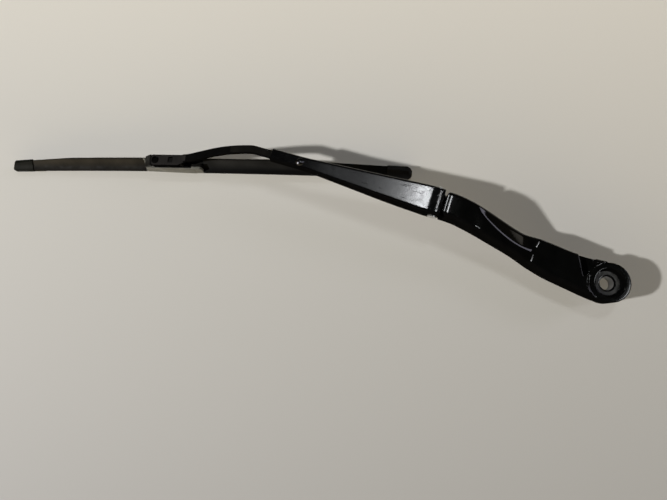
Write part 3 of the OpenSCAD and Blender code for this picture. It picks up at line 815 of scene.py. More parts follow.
def path_object(name: str, points: Sequence[Sequence[float]]) -> bpy.types.Object:
    """Makes an object that holds a path of edges.

    Args:
        name: Name of the object.
        points: Points of the path, in millimetres.

    Returns:
        The object.
    """
    mesh = bpy.data.meshes.new(name)
    verts = [[c * MM for c in p] for p in points]
    mesh.from_pydata(verts, [(i, i + 1) for i in range(len(verts) - 1)], [])
    return new_object(name, mesh)


@dataclass
class Hinge:
    """Where the arm hinges on the head, in millimetres."""

    x: float = 155.5
    y: float = -21.2
    z: float = 31.0
    pin_r: float = 2.5
    bush_r: float = 3.35
    lug_r: float = 6.0
    lug_out: float = 9.0
    slot_w: float = 6.4
    front_r: float = 10.95
    hook_r: float = 9.915
    anchor: Point = (-3.0, -5.5)
    anchor_r: float = 1.77


@dataclass
class Head:
    """The die-cast head: a spindle hub, a sloped neck with a scooped facet, and the hinge fork."""

    finish: bpy.types.Material
    wall_finish: bpy.types.Material
    seat_finish: bpy.types.Material
    hinge: Hinge
    hub_r: float = 16.7
    hub_h: float = 18.0
    recess_r: float = 11.6
    recess_depth: float = 6.5
    bore_r: float = 5.8
    wall: float = 3.0
    neck_w: float = 28.0
    neck_top: float = 20.5
    neck_depth: float = 16.5
    head_w: float = 21.4
    head_depth: float = 18.5
    top_z: float = 39.6
    edge_r: float = 3.0
    offset_from: float = 28.0
    offset_back: float = 15.5
    offset_r: Point = (26.0, 8.0)
    foot: float = 66.0
    brow: float = 124.0
    slope_r: Point = (2.5, 12.0)
    narrow_reach: float = 16.0
    narrow_r: float = 8.0
    flare: Point = (4.0, 34.0)
    flare_r: Point = (6.0, 10.0)
    scoop_depth: float = 6.5
    scoop_w: float = 13.5
    scoop_from: float = 11.0
    scoop_back: float = 3.0
    scoop_ramp: Point = (-2.0, 8.0)
    scoop_ramp_r: Point = (1.0, 3.0)
    crease_r: float = 0.9
    draft: float = 0.6
    pocket_depth: float = 4.0
    ledge_x: float = 144.3
    ledge_w: float = 0.8
    ledge_r: float = 0.2
    ledge_drop: float = 0.05
    worn: Point = (7.2, 10.2)
    rib_count: int = 4
    rib_t: float = 2.0
    rib_back: float = 40.0
    rib_low: float = 3.0
    nut_room: float = 1.6

    def mid(self, x: float) -> float:
        """Returns the sideways place of the neck's middle."""
        return self.hinge.y * rise(x, self.offset_from, self.hinge.x - self.offset_back, *self.offset_r)

    def slope(self, x: float) -> float:
        """Returns how far up the slope a place is, from 0 to 1."""
        return rise(x, self.foot, self.brow, *self.slope_r)

    def top(self, x: float) -> float:
        """Returns the height of the top."""
        step = rise(x, self.ledge_x, self.ledge_x + self.ledge_w, self.ledge_r, self.ledge_r)
        return self.neck_top + (self.top_z - self.neck_top) * self.slope(x) - self.ledge_drop * step

    def low(self, x: float) -> float:
        """Returns the height of the side walls' lower edge."""
        return self.top(x) - self.neck_depth - (self.head_depth - self.neck_depth) * self.slope(x)

    def half(self, x: float) -> float:
        """Works out half the width, from the hub over the neck to the hinge.

        Args:
            x: Where along the arm.

        Returns:
            Half the width there.
        """
        narrowed = rise(x, self.foot - self.narrow_reach, self.foot + self.narrow_reach,
                        self.narrow_r, self.narrow_r)
        narrow = (self.neck_w - self.head_w) / 2 * (1 - narrowed)
        flare = (2 * self.hub_r - self.neck_w) / 2 * (1 - rise(x, *self.flare, *self.flare_r))
        return self.head_w / 2 + narrow + flare

    def scoop_share(self, x: float) -> float:
        """Returns how far open the scooped facet is, from 0 to 1."""
        wide = self.brow - self.scoop_back - (self.foot + self.scoop_from)
        return min(1.0, max(0.0, (self.brow - self.scoop_back - x) / wide))

    def scoop_drop(self, x: float) -> float:
        """Returns how deep the scooped facet's far edge lies below the top."""
        start, stop = (self.foot + reach for reach in self.scoop_ramp)
        return self.scoop_depth * self.scoop_share(x) * rise(x, start, stop, *self.scoop_ramp_r)

    def section(self, x: float) -> list[Point]:
        """Draws the channel's section at a place.

        Args:
            x: Where along the arm.

        Returns:
            The outer path and then the inner path, backwards.
        """
        outer = self.path(x, 0.0, self.edge_r)
        inner = self.path(x, self.wall, self.edge_r / 3)
        return outer + inner[::-1]

    def path(self, x: float, inset: float, r: float) -> list[Point]:
        """Draws one skin of the channel, from the near wall over the top to the far wall.

        Args:
            x: Where along the arm.
            inset: How far the skin lies inside the outer one.
            r: Rounding of the skin's edges.

        Returns:
            The points of the skin.
        """
        yn = self.mid(x) + self.half(x) - inset
        yf = self.mid(x) - self.half(x) + inset
        zt = self.top(x) - inset
        drop = self.scoop_drop(x)
        share = self.scoop_share(x)
        narrow = self.wall + self.edge_r / 3 + self.crease_r + 0.3
        yc = self.mid(x) - self.half(x) + self.scoop_w - (self.scoop_w - narrow) * (1 - share) ** 2
        crease = [(yc + self.crease_r, zt), (yc, zt - 0.1 * share),
                  (yc - self.crease_r, zt - 0.25 * drop / self.scoop_depth - 0.1 * share)]
        zf = zt - drop
        return ([(yn + self.draft, self.low(x))] + arc(yn - r, zt - r, r, 0, 90, 10) + crease
                + arc(yf + r, zf - r, r, 90, 180, 10) + [(yf - self.draft, self.low(x))])

    def shell(self) -> bpy.types.Object:
        """Makes the neck's channel, from inside the hub to the hinge.

        Returns:
            The solid.
        """
        spans = ((6, self.foot - 7, 70), (self.foot - 6.5, self.foot + 13, 60),
                 (self.foot + 14, self.hinge.x - 5, 100))
        stations = np.concatenate([np.linspace(*span) for span in spans])
        return loft("mounting_head_shell", [[(x, y, z) for y, z in self.section(x)] for x in stations])

    def build(self) -> None:
        """Builds the casting and dresses it."""
        h = self.hinge
        across = (0, -1, 0)
        body = self.shell()
        low = self.neck_top - self.neck_depth + 0.2
        inset = self.wall / 2
        far = self.flare[1]
        root = prism("root", [(0, -self.hub_r + inset), (far, self.mid(far) - self.half(far) + inset),
                              (far, self.mid(far) + self.half(far) - inset), (0, self.hub_r - inset)],
                     low, low + self.hub_h - self.pocket_depth - 4.2)
        combine(body, root, "UNION")
        for i in range(1, self.rib_count + 1):
            x = self.hub_r + (h.x - self.rib_back - self.hub_r) * i / self.rib_count
            half = self.half(x) - self.wall / 2
            z0 = self.low(x) + self.rib_low
            z1 = self.top(x) - self.scoop_drop(x) - self.wall / 2
            y0, y1 = self.mid(x) - half, self.mid(x) + half
            rib = prism("rib", [(x - self.rib_t / 2, y0), (x + self.rib_t / 2, y0),
                                (x + self.rib_t / 2, y1), (x - self.rib_t / 2, y1)], z0, z1)
            combine(body, rib, "UNION")
        swing = drum("swing", (h.x, h.y + self.head_w, h.z), across, h.front_r, 2 * self.head_w)
        combine(body, swing, "DIFFERENCE")
        combine(body, self.pocket(), "DIFFERENCE")
        clear = drum("clear", (0, 0, self.hub_h), (0, 0, 1), self.hub_r + self.nut_room, 9)
        combine(body, clear, "DIFFERENCE")
        combine(body, drum("hub", (0, 0, 0), (0, 0, 1), self.hub_r, self.hub_h, 160), "UNION")
        combine(body, self.curtain(), "UNION")
        for side in (-1, 1):
            for lug in self.lugs(side):
                combine(body, lug, "UNION")
        combine(body, self.sill(), "UNION")
        floor = self.hub_h - self.recess_depth
        combine(body, drum("recess", (0, 0, floor), (0, 0, 1), self.recess_r, 12, 160), "DIFFERENCE")
        combine(body, drum("bore", (0, 0, -1), (0, 0, 1), self.bore_r, 14, 128), "DIFFERENCE")
        start = h.y + h.lug_out + 1
        combine(body, drum("seat", (h.x, start, h.z), across, h.bush_r, 2 * h.lug_out + 2), "DIFFERENCE")
        hole = drum("hole", (h.x + h.anchor[0], start, h.z + h.anchor[1]), across, h.anchor_r,
                    2 * h.lug_out + 2)
        combine(body, hole, "DIFFERENCE")
        slot = drum("slot", (h.x, h.y + h.slot_w / 2, h.z), across, h.hook_r, h.slot_w)
        combine(body, slot, "DIFFERENCE")
        body.name = "cast_head"
        softened(body, 0.54, 3)
        shade(body, Edge.SMOOTH)
        dress(body, self.finish, Body.HEAD, "gloss_paint", "mounting_head")
        coat_walls(body, self.wall_finish)
        self.wear_seat(body)

    def wear_seat(self, body: bpy.types.Object) -> None:
        """Gives the recess floor the ring of worn metal that the nut's flange leaves.

        Args:
            body: The finished casting.
        """
        place = face_data(body.data, "center") / MM
        away = np.hypot(place[:, 0], place[:, 1])
        level = np.abs(place[:, 2] - self.hub_h + self.recess_depth) < 0.3
        paint_faces(body, self.seat_finish, level & (away > self.worn[0]) & (away < self.worn[1]))

    def curtain(self) -> bpy.types.Object:
        """Makes the curved wall that closes the neck behind the hinge.

        Returns:
            The solid.
        """
        h = self.hinge
        half = self.head_w / 2 - self.wall / 2
        wall_r = h.front_r + self.wall
        ring = drum("curtain", (h.x, h.y + half, h.z), (0, -1, 0), wall_r, 2 * half)
        combine(ring, drum("inside", (h.x, h.y + half + 1, h.z), (0, -1, 0), h.front_r, 2 * half + 2),
                "DIFFERENCE")
        low = self.low(h.x - 9) + 0.6
        x0 = h.x - wall_r - 1
        x1 = x0 + wall_r - 4
        keep = prism("keep", [(x0, h.y - 20), (x1, h.y - 20), (x1, h.y + 20), (x0, h.y + 20)],
                     low, low + self.head_depth - self.wall / 2 - 0.6)
        return combine(ring, keep, "INTERSECT")

    def lugs(self, side: int) -> list[bpy.types.Object]:
        """Makes the lug on one side of the fork.

        Args:
            side: Which side, 1 for near and -1 for far.

        Returns:
            The solids of the lug.
        """
        h = self.hinge
        ax, az = h.anchor
        y0 = h.y + side * h.slot_w / 2
        y1 = h.y + side * h.lug_out
        near, far = max(y0, y1), min(y0, y1)
        width = near - far
        web = h.front_r + self.wall / 2
        outline = [(-h.lug_r + 0.6, -2), (-web, -4.8), (-web, az - 3.4), (ax, az - 3.4),
                   (h.lug_r / 3, -h.lug_r + 1)]
        return [
            drum("lug", (h.x, near, h.z), (0, -1, 0), h.lug_r, width),
            drum("anchor", (h.x + ax, near, h.z + az), (0, -1, 0), h.anchor_r + 2.2, width),
            side_prism("web", [(h.x + a, h.z + b) for a, b in outline], far, near),
        ]

    def sill(self) -> bpy.types.Object:
        """Makes the plate that joins the lugs under the anchor pin.

        Returns:
            The solid.
        """
        h = self.hinge
        x0, x1 = h.x - h.front_r - self.wall / 2 + 1, h.x - 5.4
        low = h.z + h.anchor[1] - 3.4
        half = h.lug_out - 1
        return prism("sill", [(x0, h.y - half), (x1, h.y - half), (x1, h.y + half), (x0, h.y + half)],
                     low, low + 1.2)

    def pocket(self) -> bpy.types.Object:
        """Makes the room over the step that drops from the neck's top down to the hub.

        Returns:
            The solid to cut away.
        """
        lip = self.hub_h - self.pocket_depth
        edge = self.hub_r
        outline = [(edge - 0.5, -edge - 8), (edge + 14, -edge - 8), (edge + 14, -edge + 0.6),
                   (edge + 5.4, 2), (edge + 0.2, -3), (edge - 1.8, -8)]
        return prism("pocket", outline, lip, lip + self.neck_top)


@dataclass
class Retainer:
    """The pressed arm: a steel channel that tapers from the hinge to the crimp."""

    finish: bpy.types.Material
    wall_finish: bpy.types.Material
    hinge: Hinge
    top_z: float = 40.0
    back: float = 5.0
    width: float = 23.4
    crimp_w: float = 10.6
    steel: float = 1.5
    depth: float = 17.0
    step: float = 0.6
    step_span: Point = (-0.2, 5.2)
    step_r: Point = (0.8, 0.8)
    lip_drop: float = 0.3
    lip_to: float = -2.9
    lip_r: Point = (0.3, 0.5)
    taper_from: float = 8.5
    taper_to: float = 116.5
    taper_r: Point = (4.0, 8.0)
    wall_from: float = 40.0
    wall_back: float = 4.0
    wall_r: Point = (10.0, 8.0)
    length: float = 147.5
    edge_r: float = 2.0
    end_r: float = 0.35
    crimp_low: float = 33.0
    rivet_at: float = 121.0
    rivet_r: float = 2.02

    def half(self, x: float) -> float:
        """Returns half the width at a distance from the pin."""
        taper = rise(x, self.taper_from, self.taper_to, *self.taper_r)
        return self.width / 2 - (self.width - self.crimp_w) / 2 * taper

    def top(self, x: float) -> float:
        """Returns the height of the top."""
        ramp = self.step * (1 - rise(x, *self.step_span, *self.step_r))
        return self.top_z - ramp - self.lip_drop * (1 - rise(x, -self.back, self.lip_to, *self.lip_r))

    def low(self, x: float) -> float:
        """Works out the height of the walls' lower edge.

        Args:
            x: Distance from the pin.

        Returns:
            The height there.
        """
        hinge_low = self.top_z - self.depth
        share = rise(x, self.wall_from, self.taper_to - self.wall_back, *self.wall_r)
        return hinge_low + (self.crimp_low - hinge_low) * share

    def path(self, x: float, inset: float, r: float, pull: float) -> list[Point]:
        """Draws one skin of the channel's section.

        Args:
            x: Distance from the pin.
            inset: How far the skin lies inside the outer one.
            r: Rounding of the skin's edges.
            pull: How far the section is pulled in, near the ends.

        Returns:
            The points of the skin.
        """
        h = self.half(x) - inset - pull
        zt = self.top(x) - inset - pull
        return ([(h, self.low(x))] + arc(h - r, zt - r, r, 0, 90, 8) + arc(r - h, zt - r, r, 90, 180, 8)
                + [(-h, self.low(x))])

    def stations(self) -> list[tuple[float, float]]:
        """Sets out the stations, with rounded ends.

        Returns:
            The distance of each from the pin, and how far the outer skin is pulled in there.
        """
        r = self.end_r
        ends = [(r - r * math.cos(a), r - r * math.sin(a)) for a in np.linspace(0, math.pi / 2, 5)]
        body = list(np.linspace(-self.back + r, self.taper_from + 6, 70))
        body += list(np.linspace(self.taper_from + 6, self.length - r, 120))[1:]
        front = [(-self.back + a, b) for a, b in ends[:-1]]
        tail = [(self.length - a, b) for a, b in reversed(ends[:-1])]
        return front + [(x, 0.0) for x in body] + tail

    def build(self) -> None:
        """Builds the channel and dresses it."""
        h = self.hinge
        rings = []
        for x, pull in self.stations():
            outer = self.path(x, 0.0, self.edge_r, pull)
            inner = self.path(x, self.steel - pull, self.edge_r - self.steel + 0.1, 0.0)
            rings.append([(h.x + x, h.y + y, z) for y, z in outer + inner[::-1]])
        body = loft("pressed_arm", rings)
        start = self.taper_to - 2
        for side in (-1, 1):
            y0 = 1.2 if side > 0 else 0.5 - self.crimp_w / 2
            y1 = y0 + self.crimp_w / 2 - 1.7
            flange = prism("flange", [(h.x + start, h.y + y0), (h.x + self.length, h.y + y0),
                                      (h.x + self.length, h.y + y1), (h.x + start, h.y + y1)],
                           self.crimp_low, self.crimp_low + self.steel)
            combine(body, flange, "UNION")
        span = self.width + 4
        y0 = h.y + span / 2
        combine(body, drum("pin", (h.x, y0, h.z), (0, -1, 0), h.pin_r, span), "DIFFERENCE")
        cut = h.z - self.top_z + self.depth
        ear = [(-self.back - 1, -cut - 1), (0.8, -cut - 1), (0.8, -cut), (-self.back + 1.6, -cut + 2.2),
               (-self.back, -1.5), (-self.back - 1, -1.5)]
        combine(body, side_prism("ear", [(h.x + a, h.z + b) for a, b in ear], h.y - span, h.y + span),
                "DIFFERENCE")
        combine(body, drum("rivet", (h.x + self.rivet_at, h.y, 30), (0, 0, 1), self.rivet_r, 20),
                "DIFFERENCE")
        softened(body, 0.42, 2)
        shade(body, Edge.SMOOTH)
        dress(body, self.finish, Body.ARM, "gloss_paint", "arm_retainer")
        coat_walls(body, self.wall_finish)


@dataclass
class Rod:
    """The flat rod with its bend, its fall and its latch tip."""

    frame: dict
    finish: bpy.types.Material
    wall_finish: bpy.types.Material
    tip_finish: bpy.types.Material
    tip_from: float = 384.0

    def build(self) -> None:
        """Rounds the rod's edges and dresses it, with a duller tip."""
        body = merged(self.frame, "arm_rod", "flat_rod")
        softened(body, 0.34, 4)
        shade(body, Edge.SMOOTH)
        dress(body, self.finish, Body.ARM, "satin_paint", "arm_rod")
        paint_faces(body, self.tip_finish, face_data(body.data, "center")[:, 0] > self.tip_from * MM)
        coat_walls(body, self.wall_finish)


@dataclass
class Spring:
    """The tension spring, as one round wire with a loop at each end, in the link's own line."""

    finish: bpy.types.Material
    anchor: Place = (152.5, -21.2, 25.5)
    hole: Place = (248.4, -21.2, 32.5)
    hook_hole: float = 22.0
    wire_r: float = 0.9
    coil_r: float = 4.2
    turns: int = 19
    turn_steps: int = 32

    def points(self) -> list[Vector]:
        """Lays out the wire's path: loop, coil, loop.

        Returns:
            The points of the path, in millimetres.
        """
        reach = Vector(self.hole) - Vector(self.anchor)
        length = reach.length
        tilt = math.atan2(reach.z, reach.x)
        near = self.hook_hole + self.coil_r
        far = length - self.coil_r
        start = near + self.coil_r + self.wire_r
        stop = far - self.coil_r - self.wire_r
        r = self.coil_r
        path = [(near + r * math.cos(a), r * math.sin(a), 0.0)
                for a in np.radians(np.linspace(330, 96, 26))]
        whole = self.turns + 0.75
        for t in np.linspace(0.0, 1.0, int(whole * self.turn_steps) + 1):
            a = 2 * math.pi * whole * t
            path.append((start + (stop - start) * t, r * math.cos(a), r * math.sin(a)))
        path += [(far + r * math.cos(a), 0.0, r * math.sin(a)) for a in np.radians(np.linspace(-84, 150, 26))]
        turn = Matrix.Rotation(-tilt, 4, "Y")
        return [turn @ Vector(p) + Vector(self.anchor) for p in path]

    def build(self) -> None:
        """Lays the wire along the path and dresses it."""
        coil = path_object("coil_spring", self.points())
        wire_tree().apply(coil, {"Radius": self.wire_r * MM, "Sides": 12, "Finish": self.finish})
        dress(coil, self.finish, Body.LINK, "spring_steel", "tension_spring")


@dataclass
class BoreKnurl:
    """The fine knurl of the spindle's socket, which grips the spindle's taper."""

    finish: bpy.types.Material
    count: int = 64
    r: float = 5.78
    tooth: float = 0.32
    low: float = 0.8
    length: float = 9.8

    def tree(self) -> Trail:
        """Makes the tree that sets ridges side by side round a ring.

        Returns:
            The tree, with the inputs Ridges, Ring, Tooth, Length and Finish.
        """
        trail = Trail("ridges_round_ring")
        trail.number("Ridges", "NodeSocketInt")
        for name in ("Ring", "Tooth", "Length"):
            trail.number(name)
        trail.number("Finish", "NodeSocketMaterial")
        given = trail.source.outputs
        ring = trail.node("GeometryNodeMeshCircle", Vertices=given["Ridges"], Radius=given["Ring"])
        ridge = trail.node("GeometryNodeMeshCone", Vertices=4, Radius_Top=given["Tooth"],
                           Radius_Bottom=given["Tooth"], Depth=given["Length"])
        facing = trail.node("GeometryNodeInputPosition")
        turn = trail.node("FunctionNodeAlignRotationToVector", Vector=facing.outputs["Position"])
        turn.axis = "X"
        turn.pivot_axis = "Z"
        laid = trail.node("GeometryNodeInstanceOnPoints", Points=ring.outputs["Mesh"],
                          Instance=ridge.outputs["Mesh"], Rotation=turn.outputs["Rotation"])
        trail.close(laid.outputs["Instances"])
        return trail

    def build(self) -> None:
        """Lays the ridges, moves them to their place in the mesh and dresses them."""
        ring = new_object("bore_knurl", bpy.data.meshes.new("bore_knurl"))
        self.tree().apply(ring, {"Ridges": self.count, "Ring": self.r * MM, "Tooth": self.tooth * MM,
                                 "Length": self.length * MM, "Finish": self.finish})
        ring.data.transform(Matrix.Translation((0, 0, self.low * MM)))
        dress(ring, self.finish, Body.HEAD, "bare_steel")


@dataclass
class BladeLine:
    """The blade's own line, seen from the side a shallow arc, and its narrowing towards the ends."""

    pivot: Point = (405.6, 4.0)
    angle: float = 15.1
    inner: float = -230.0
    outer: float = 170.0
    arch: float = 8.0
    lip_depth: float = 18.0
    ridge_h: float = 14.2
    end_h: float = 10.5
    flank_z: float = 8.6
    taper_in: float = 110.0
    taper_out: float = 70.0
    far_half: float = 4.8
    end_taper: float = 2.2
    rail_out: float = 3.9

    @property
    def mid(self) -> float:
        """Middle of the blade along its own line."""
        return (self.inner + self.outer) / 2

    @property
    def radius(self) -> float:
        """Radius of the blade's arc."""
        return (self.outer - self.inner) ** 2 / (8 * self.arch) + self.arch / 2

    def lip(self, x: float) -> float:
        """Returns the height of the wiping lip."""
        top = self.arch - self.lip_depth - self.radius
        return top + math.sqrt(self.radius ** 2 - (x - self.mid) ** 2)

    def place(self, x: float, y: float, h: float) -> Place:
        """Returns the place in the part's frame of a point of the section at x.

        Args:
            x: Place along the blade, from the pivot outwards.
            y: Distance towards the near side.
            h: Height above the lip, square to the arc.

        Returns:
            The place, in millimetres.
        """
        lean = math.asin((x - self.mid) / self.radius)
        along = self.mid + (self.radius + h) * math.sin(lean)
        z = self.arch - self.lip_depth - self.radius + (self.radius + h) * math.cos(lean)
        turn = math.radians(self.angle)
        return (self.pivot[0] + along * math.cos(turn) - y * math.sin(turn),
                self.pivot[1] + along * math.sin(turn) + y * math.cos(turn), z)

    def local(self, places: np.ndarray) -> tuple[np.ndarray, np.ndarray]:
        """Turns places in the part's frame into the blade's own.

        Args:
            places: One row for each place, in millimetres.

        Returns:
            How far along the blade and towards its near side each place is, from the pivot.
        """
        turn = math.radians(self.angle)
        x, y = places[:, 0] - self.pivot[0], places[:, 1] - self.pivot[1]
        return x * math.cos(turn) + y * math.sin(turn), y * math.cos(turn) - x * math.sin(turn)

    def share(self, x: float) -> float:
        """Works out how far a place is into the narrowing.

        Args:
            x: Place along the blade.

        Returns:
            A share from 0 to 1 at the tips.
        """
        start_in, start_out = self.inner + self.taper_in, self.outer - self.taper_out
        if x < start_in:
            return (start_in - x) / (self.taper_in + 1)
        return max(0.0, (x - start_out) / (self.taper_out + 1))

    def far(self, x: float) -> float:
        """Returns the distance from the middle line to the far edge."""
        return self.far_half - self.end_taper * self.share(x)

    def ridge(self, x: float) -> float:
        """Works out the height of the ridge above the lip.

        Args:
            x: Place along the blade.

        Returns:
            The height there.
        """
        share = self.share(x)
        start = self.inner + self.taper_in if x < self.mid else self.outer - self.taper_out
        line = (self.lip(start) + self.ridge_h + 0.6) * (1 - share) + (self.end_h - self.lip_depth) * share
        return self.ridge_h if share <= 0.0 else min(self.ridge_h, line - self.lip(x))


@dataclass
class Spoiler:
    """A soft concave spoiler, from a low near edge up to a sharp ridge on the far side."""

    finish: bpy.types.Material
    line: BladeLine
    node: str
    start: float
    stop: float
    near: float
    # Painted shade fades out from the flank's foot, in towards the ridge, and in towards the inner end.
    foot_fade: Point = (0.25, 0.7)
    brow_fade: Point = (0.84, 0.94)
    inner_fade: Point = (-150.0, -60.0)
    stations: int = 150

    def section(self, x: float) -> list[Point]:
        """Draws the section at a place.

        Args:
            x: Place along the blade.

        Returns:
            Points as distance towards the near side and height above the lip.
        """
        far = self.line.far(x)
        ridge = self.line.ridge(x)
        low = self.line.flank_z
        out = self.line.rail_out
        near = self.near
        span = near + far - 0.9
        flank = [(near - span * t, low + (ridge - low) * t ** 1.8) for t in np.linspace(0.06, 1.0, 26)]
        edge = [(near, 5.9), (near, 8.05), (near - 0.07, 8.3), (near - 0.22, 8.5), (near - 0.42, low)]
        tip = [(0.55 - far, ridge + 0.02), (0.25 - far, ridge - 0.12), (0.05 - far, ridge - 0.45),
               (-far, ridge - 1.3), (-far, 5.9)]
        slot_out = max(-out - 0.05, 0.95 - far)
        slot_in = max(0.9 - out, 1.25 - far)
        slot_top = max(-3.05, 1.25 - far)
        under = [(max(0.4 - out, 0.5 - far), 5.4), (slot_in, 5.4), (slot_in, 6.5), (slot_out, 6.5),
                 (slot_out, 7.6), (slot_top, 7.6), (slot_top, 8.4), (3.05, 8.4), (3.05, 7.6),
                 (out + 0.05, 7.6), (out + 0.05, 6.5), (out - 0.9, 6.5), (out - 0.9, 5.4), (out - 0.4, 5.4)]
        return edge + flank + tip + under

    def build(self) -> bpy.types.Object:
        """Lofts the spoiler along the blade and dresses it.

        Returns:
            The finished spoiler.
        """
        rings = [[self.line.place(x, y, h) for y, h in self.section(x)]
                 for x in np.linspace(self.start, self.stop, self.stations)]
        body = loft("soft_" + self.node, rings)
        self.mark_painted_shade(body)
        shade(body, Edge.CRISP)
        return dress(body, self.finish, Body.BLADE, "soft_black", self.node)

    def mark_painted_shade(self, body: bpy.types.Object) -> None:
        """Stores the painted shade of each point: the flank's shade at its foot and at the ridge, and a
        darkening towards the inner end.

        Args:
            body: The spoiler.
        """
        mesh = body.data
        found = np.empty(3 * len(mesh.vertices), dtype=np.float32)
        mesh.vertices.foreach_get("co", found)
        along, across = self.line.local(found.reshape(-1, 3) / MM)
        share = (self.near - across) / (self.near + self.line.far_half)
        foot = np.interp(share, self.foot_fade, (1.0, 0.0))
        brow = np.interp(share, self.brow_fade, (0.0, 1.0))
        inner = np.interp(along, self.inner_fade, (1.0, 0.0))
        mark = mesh.attributes.new("painted_shade", "FLOAT", "POINT")
        mark.data.foreach_set("value", np.maximum.reduce((foot, brow, inner)).astype(np.float32))


@dataclass
class Moulding:
    """A moulded or turned piece that keeps its solid's form with every edge a little rounded."""

    frame: dict
    finish: bpy.types.Material
    node: str
    body: Body
    slot: str
    voxel: float = 0.3
    rounds: int = 2

    def build(self) -> bpy.types.Object:
        """Rounds the edges of the solid's copy and dresses it.

        Returns:
            The finished piece.
        """
        shape = merged(self.frame, self.node, "soft_" + self.node)
        softened(shape, self.voxel, self.rounds)
        shade(shape, Edge.SMOOTH)
        return dress(shape, self.finish, self.body, self.slot, self.node)


@dataclass
class Blade:
    """The flat blade: two soft spoilers, the caps, and the connector's clamp and cover."""

    frame: dict
    kinds: Finishes
    moulded: bpy.types.Material
    outer_span: Point = (26.0, 161.2)
    outer_near: float = 6.2
    inner_span: Point = (-221.2, -31.6)
    inner_near: float = 7.4
    cover_flank: float = 4.6
    cover_nose: float = 14.0
    cover_lip: float = 28.3
    lip_slant: float = 0.3

    def build(self) -> None:
        """Builds the blade's pieces and dresses them."""
        line = BladeLine()
        grey = self.kinds.moulded_grey.build()
        soft = self.kinds.soft_black.build()
        dark = self.kinds.soft_dark.build()
        outer = Spoiler(soft, line, "spoiler_outer", *self.outer_span, self.outer_near).build()
        along, across = line.local(face_data(outer.data, "center") / MM)
        paint_faces(outer, grey, along < self.cover_lip - self.lip_slant * (across + line.far_half))
        Spoiler(dark, line, "spoiler_inner", *self.inner_span, self.inner_near).build()
        self.moulding(self.kinds.cap_plastic.build(), "end_cap_outer")
        self.moulding(self.moulded, "end_cap_inner")
        self.moulding(self.moulded, "blade_base")
        cover = self.moulding(grey, "connector_cover", "grey_plastic")
        along, across = line.local(face_data(cover.data, "center") / MM)
        paint_faces(cover, self.moulded, (across < self.cover_flank) & (along < self.cover_nose))

    def moulding(self, finish: bpy.types.Material, node: str,
                 slot: str = "black_plastic") -> bpy.types.Object:
        """Returns a finished moulding that rides on the blade."""
        return Moulding(self.frame, finish, node, Body.BLADE, slot).build()


@dataclass
class Latch:
    """The clip inside the rod's tip and its round latch button."""

    frame: dict
    kinds: Finishes
    moulded: bpy.types.Material
    clip_voxel: float = 0.26
    button_voxel: float = 0.2

    def build(self) -> None:
        """Builds both mouldings and dresses them."""
        clip = Moulding(self.frame, self.moulded, "adapter", Body.ARM, "black_plastic", self.clip_voxel)
        clip.build()
        # The button's near-black finish is painted shade of its hole.
        finish = self.kinds.button_shaded_plastic.build()
        Moulding(self.frame, finish, "release_button", Body.LATCH, "black_plastic",
                 self.button_voxel).build()


@dataclass
class Hardware:
    """The pins, bushes, rails and rubber, which keep their solids' own form."""

    frame: dict
    kinds: Finishes
    sprung: bpy.types.Material

    def build(self) -> None:
        """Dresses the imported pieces."""
        kinds = self.kinds
        repaint(self.frame, kinds.bush_plastic.build(), "hinge_bush_far", "hinge_bush_near")
        repaint(self.frame, kinds.rivet_steel.build(), "retainer_rivet")
        repaint(self.frame, kinds.bright_steel.build(), "spring_anchor_pin", "hinge_pin",
                "spring_hook", "blade_pivot_pin")
        repaint(self.frame, self.sprung, "spring_rail_front", "spring_rail_rear")
        repaint(self.frame, kinds.lip_rubber.build(), "wiping_rubber")


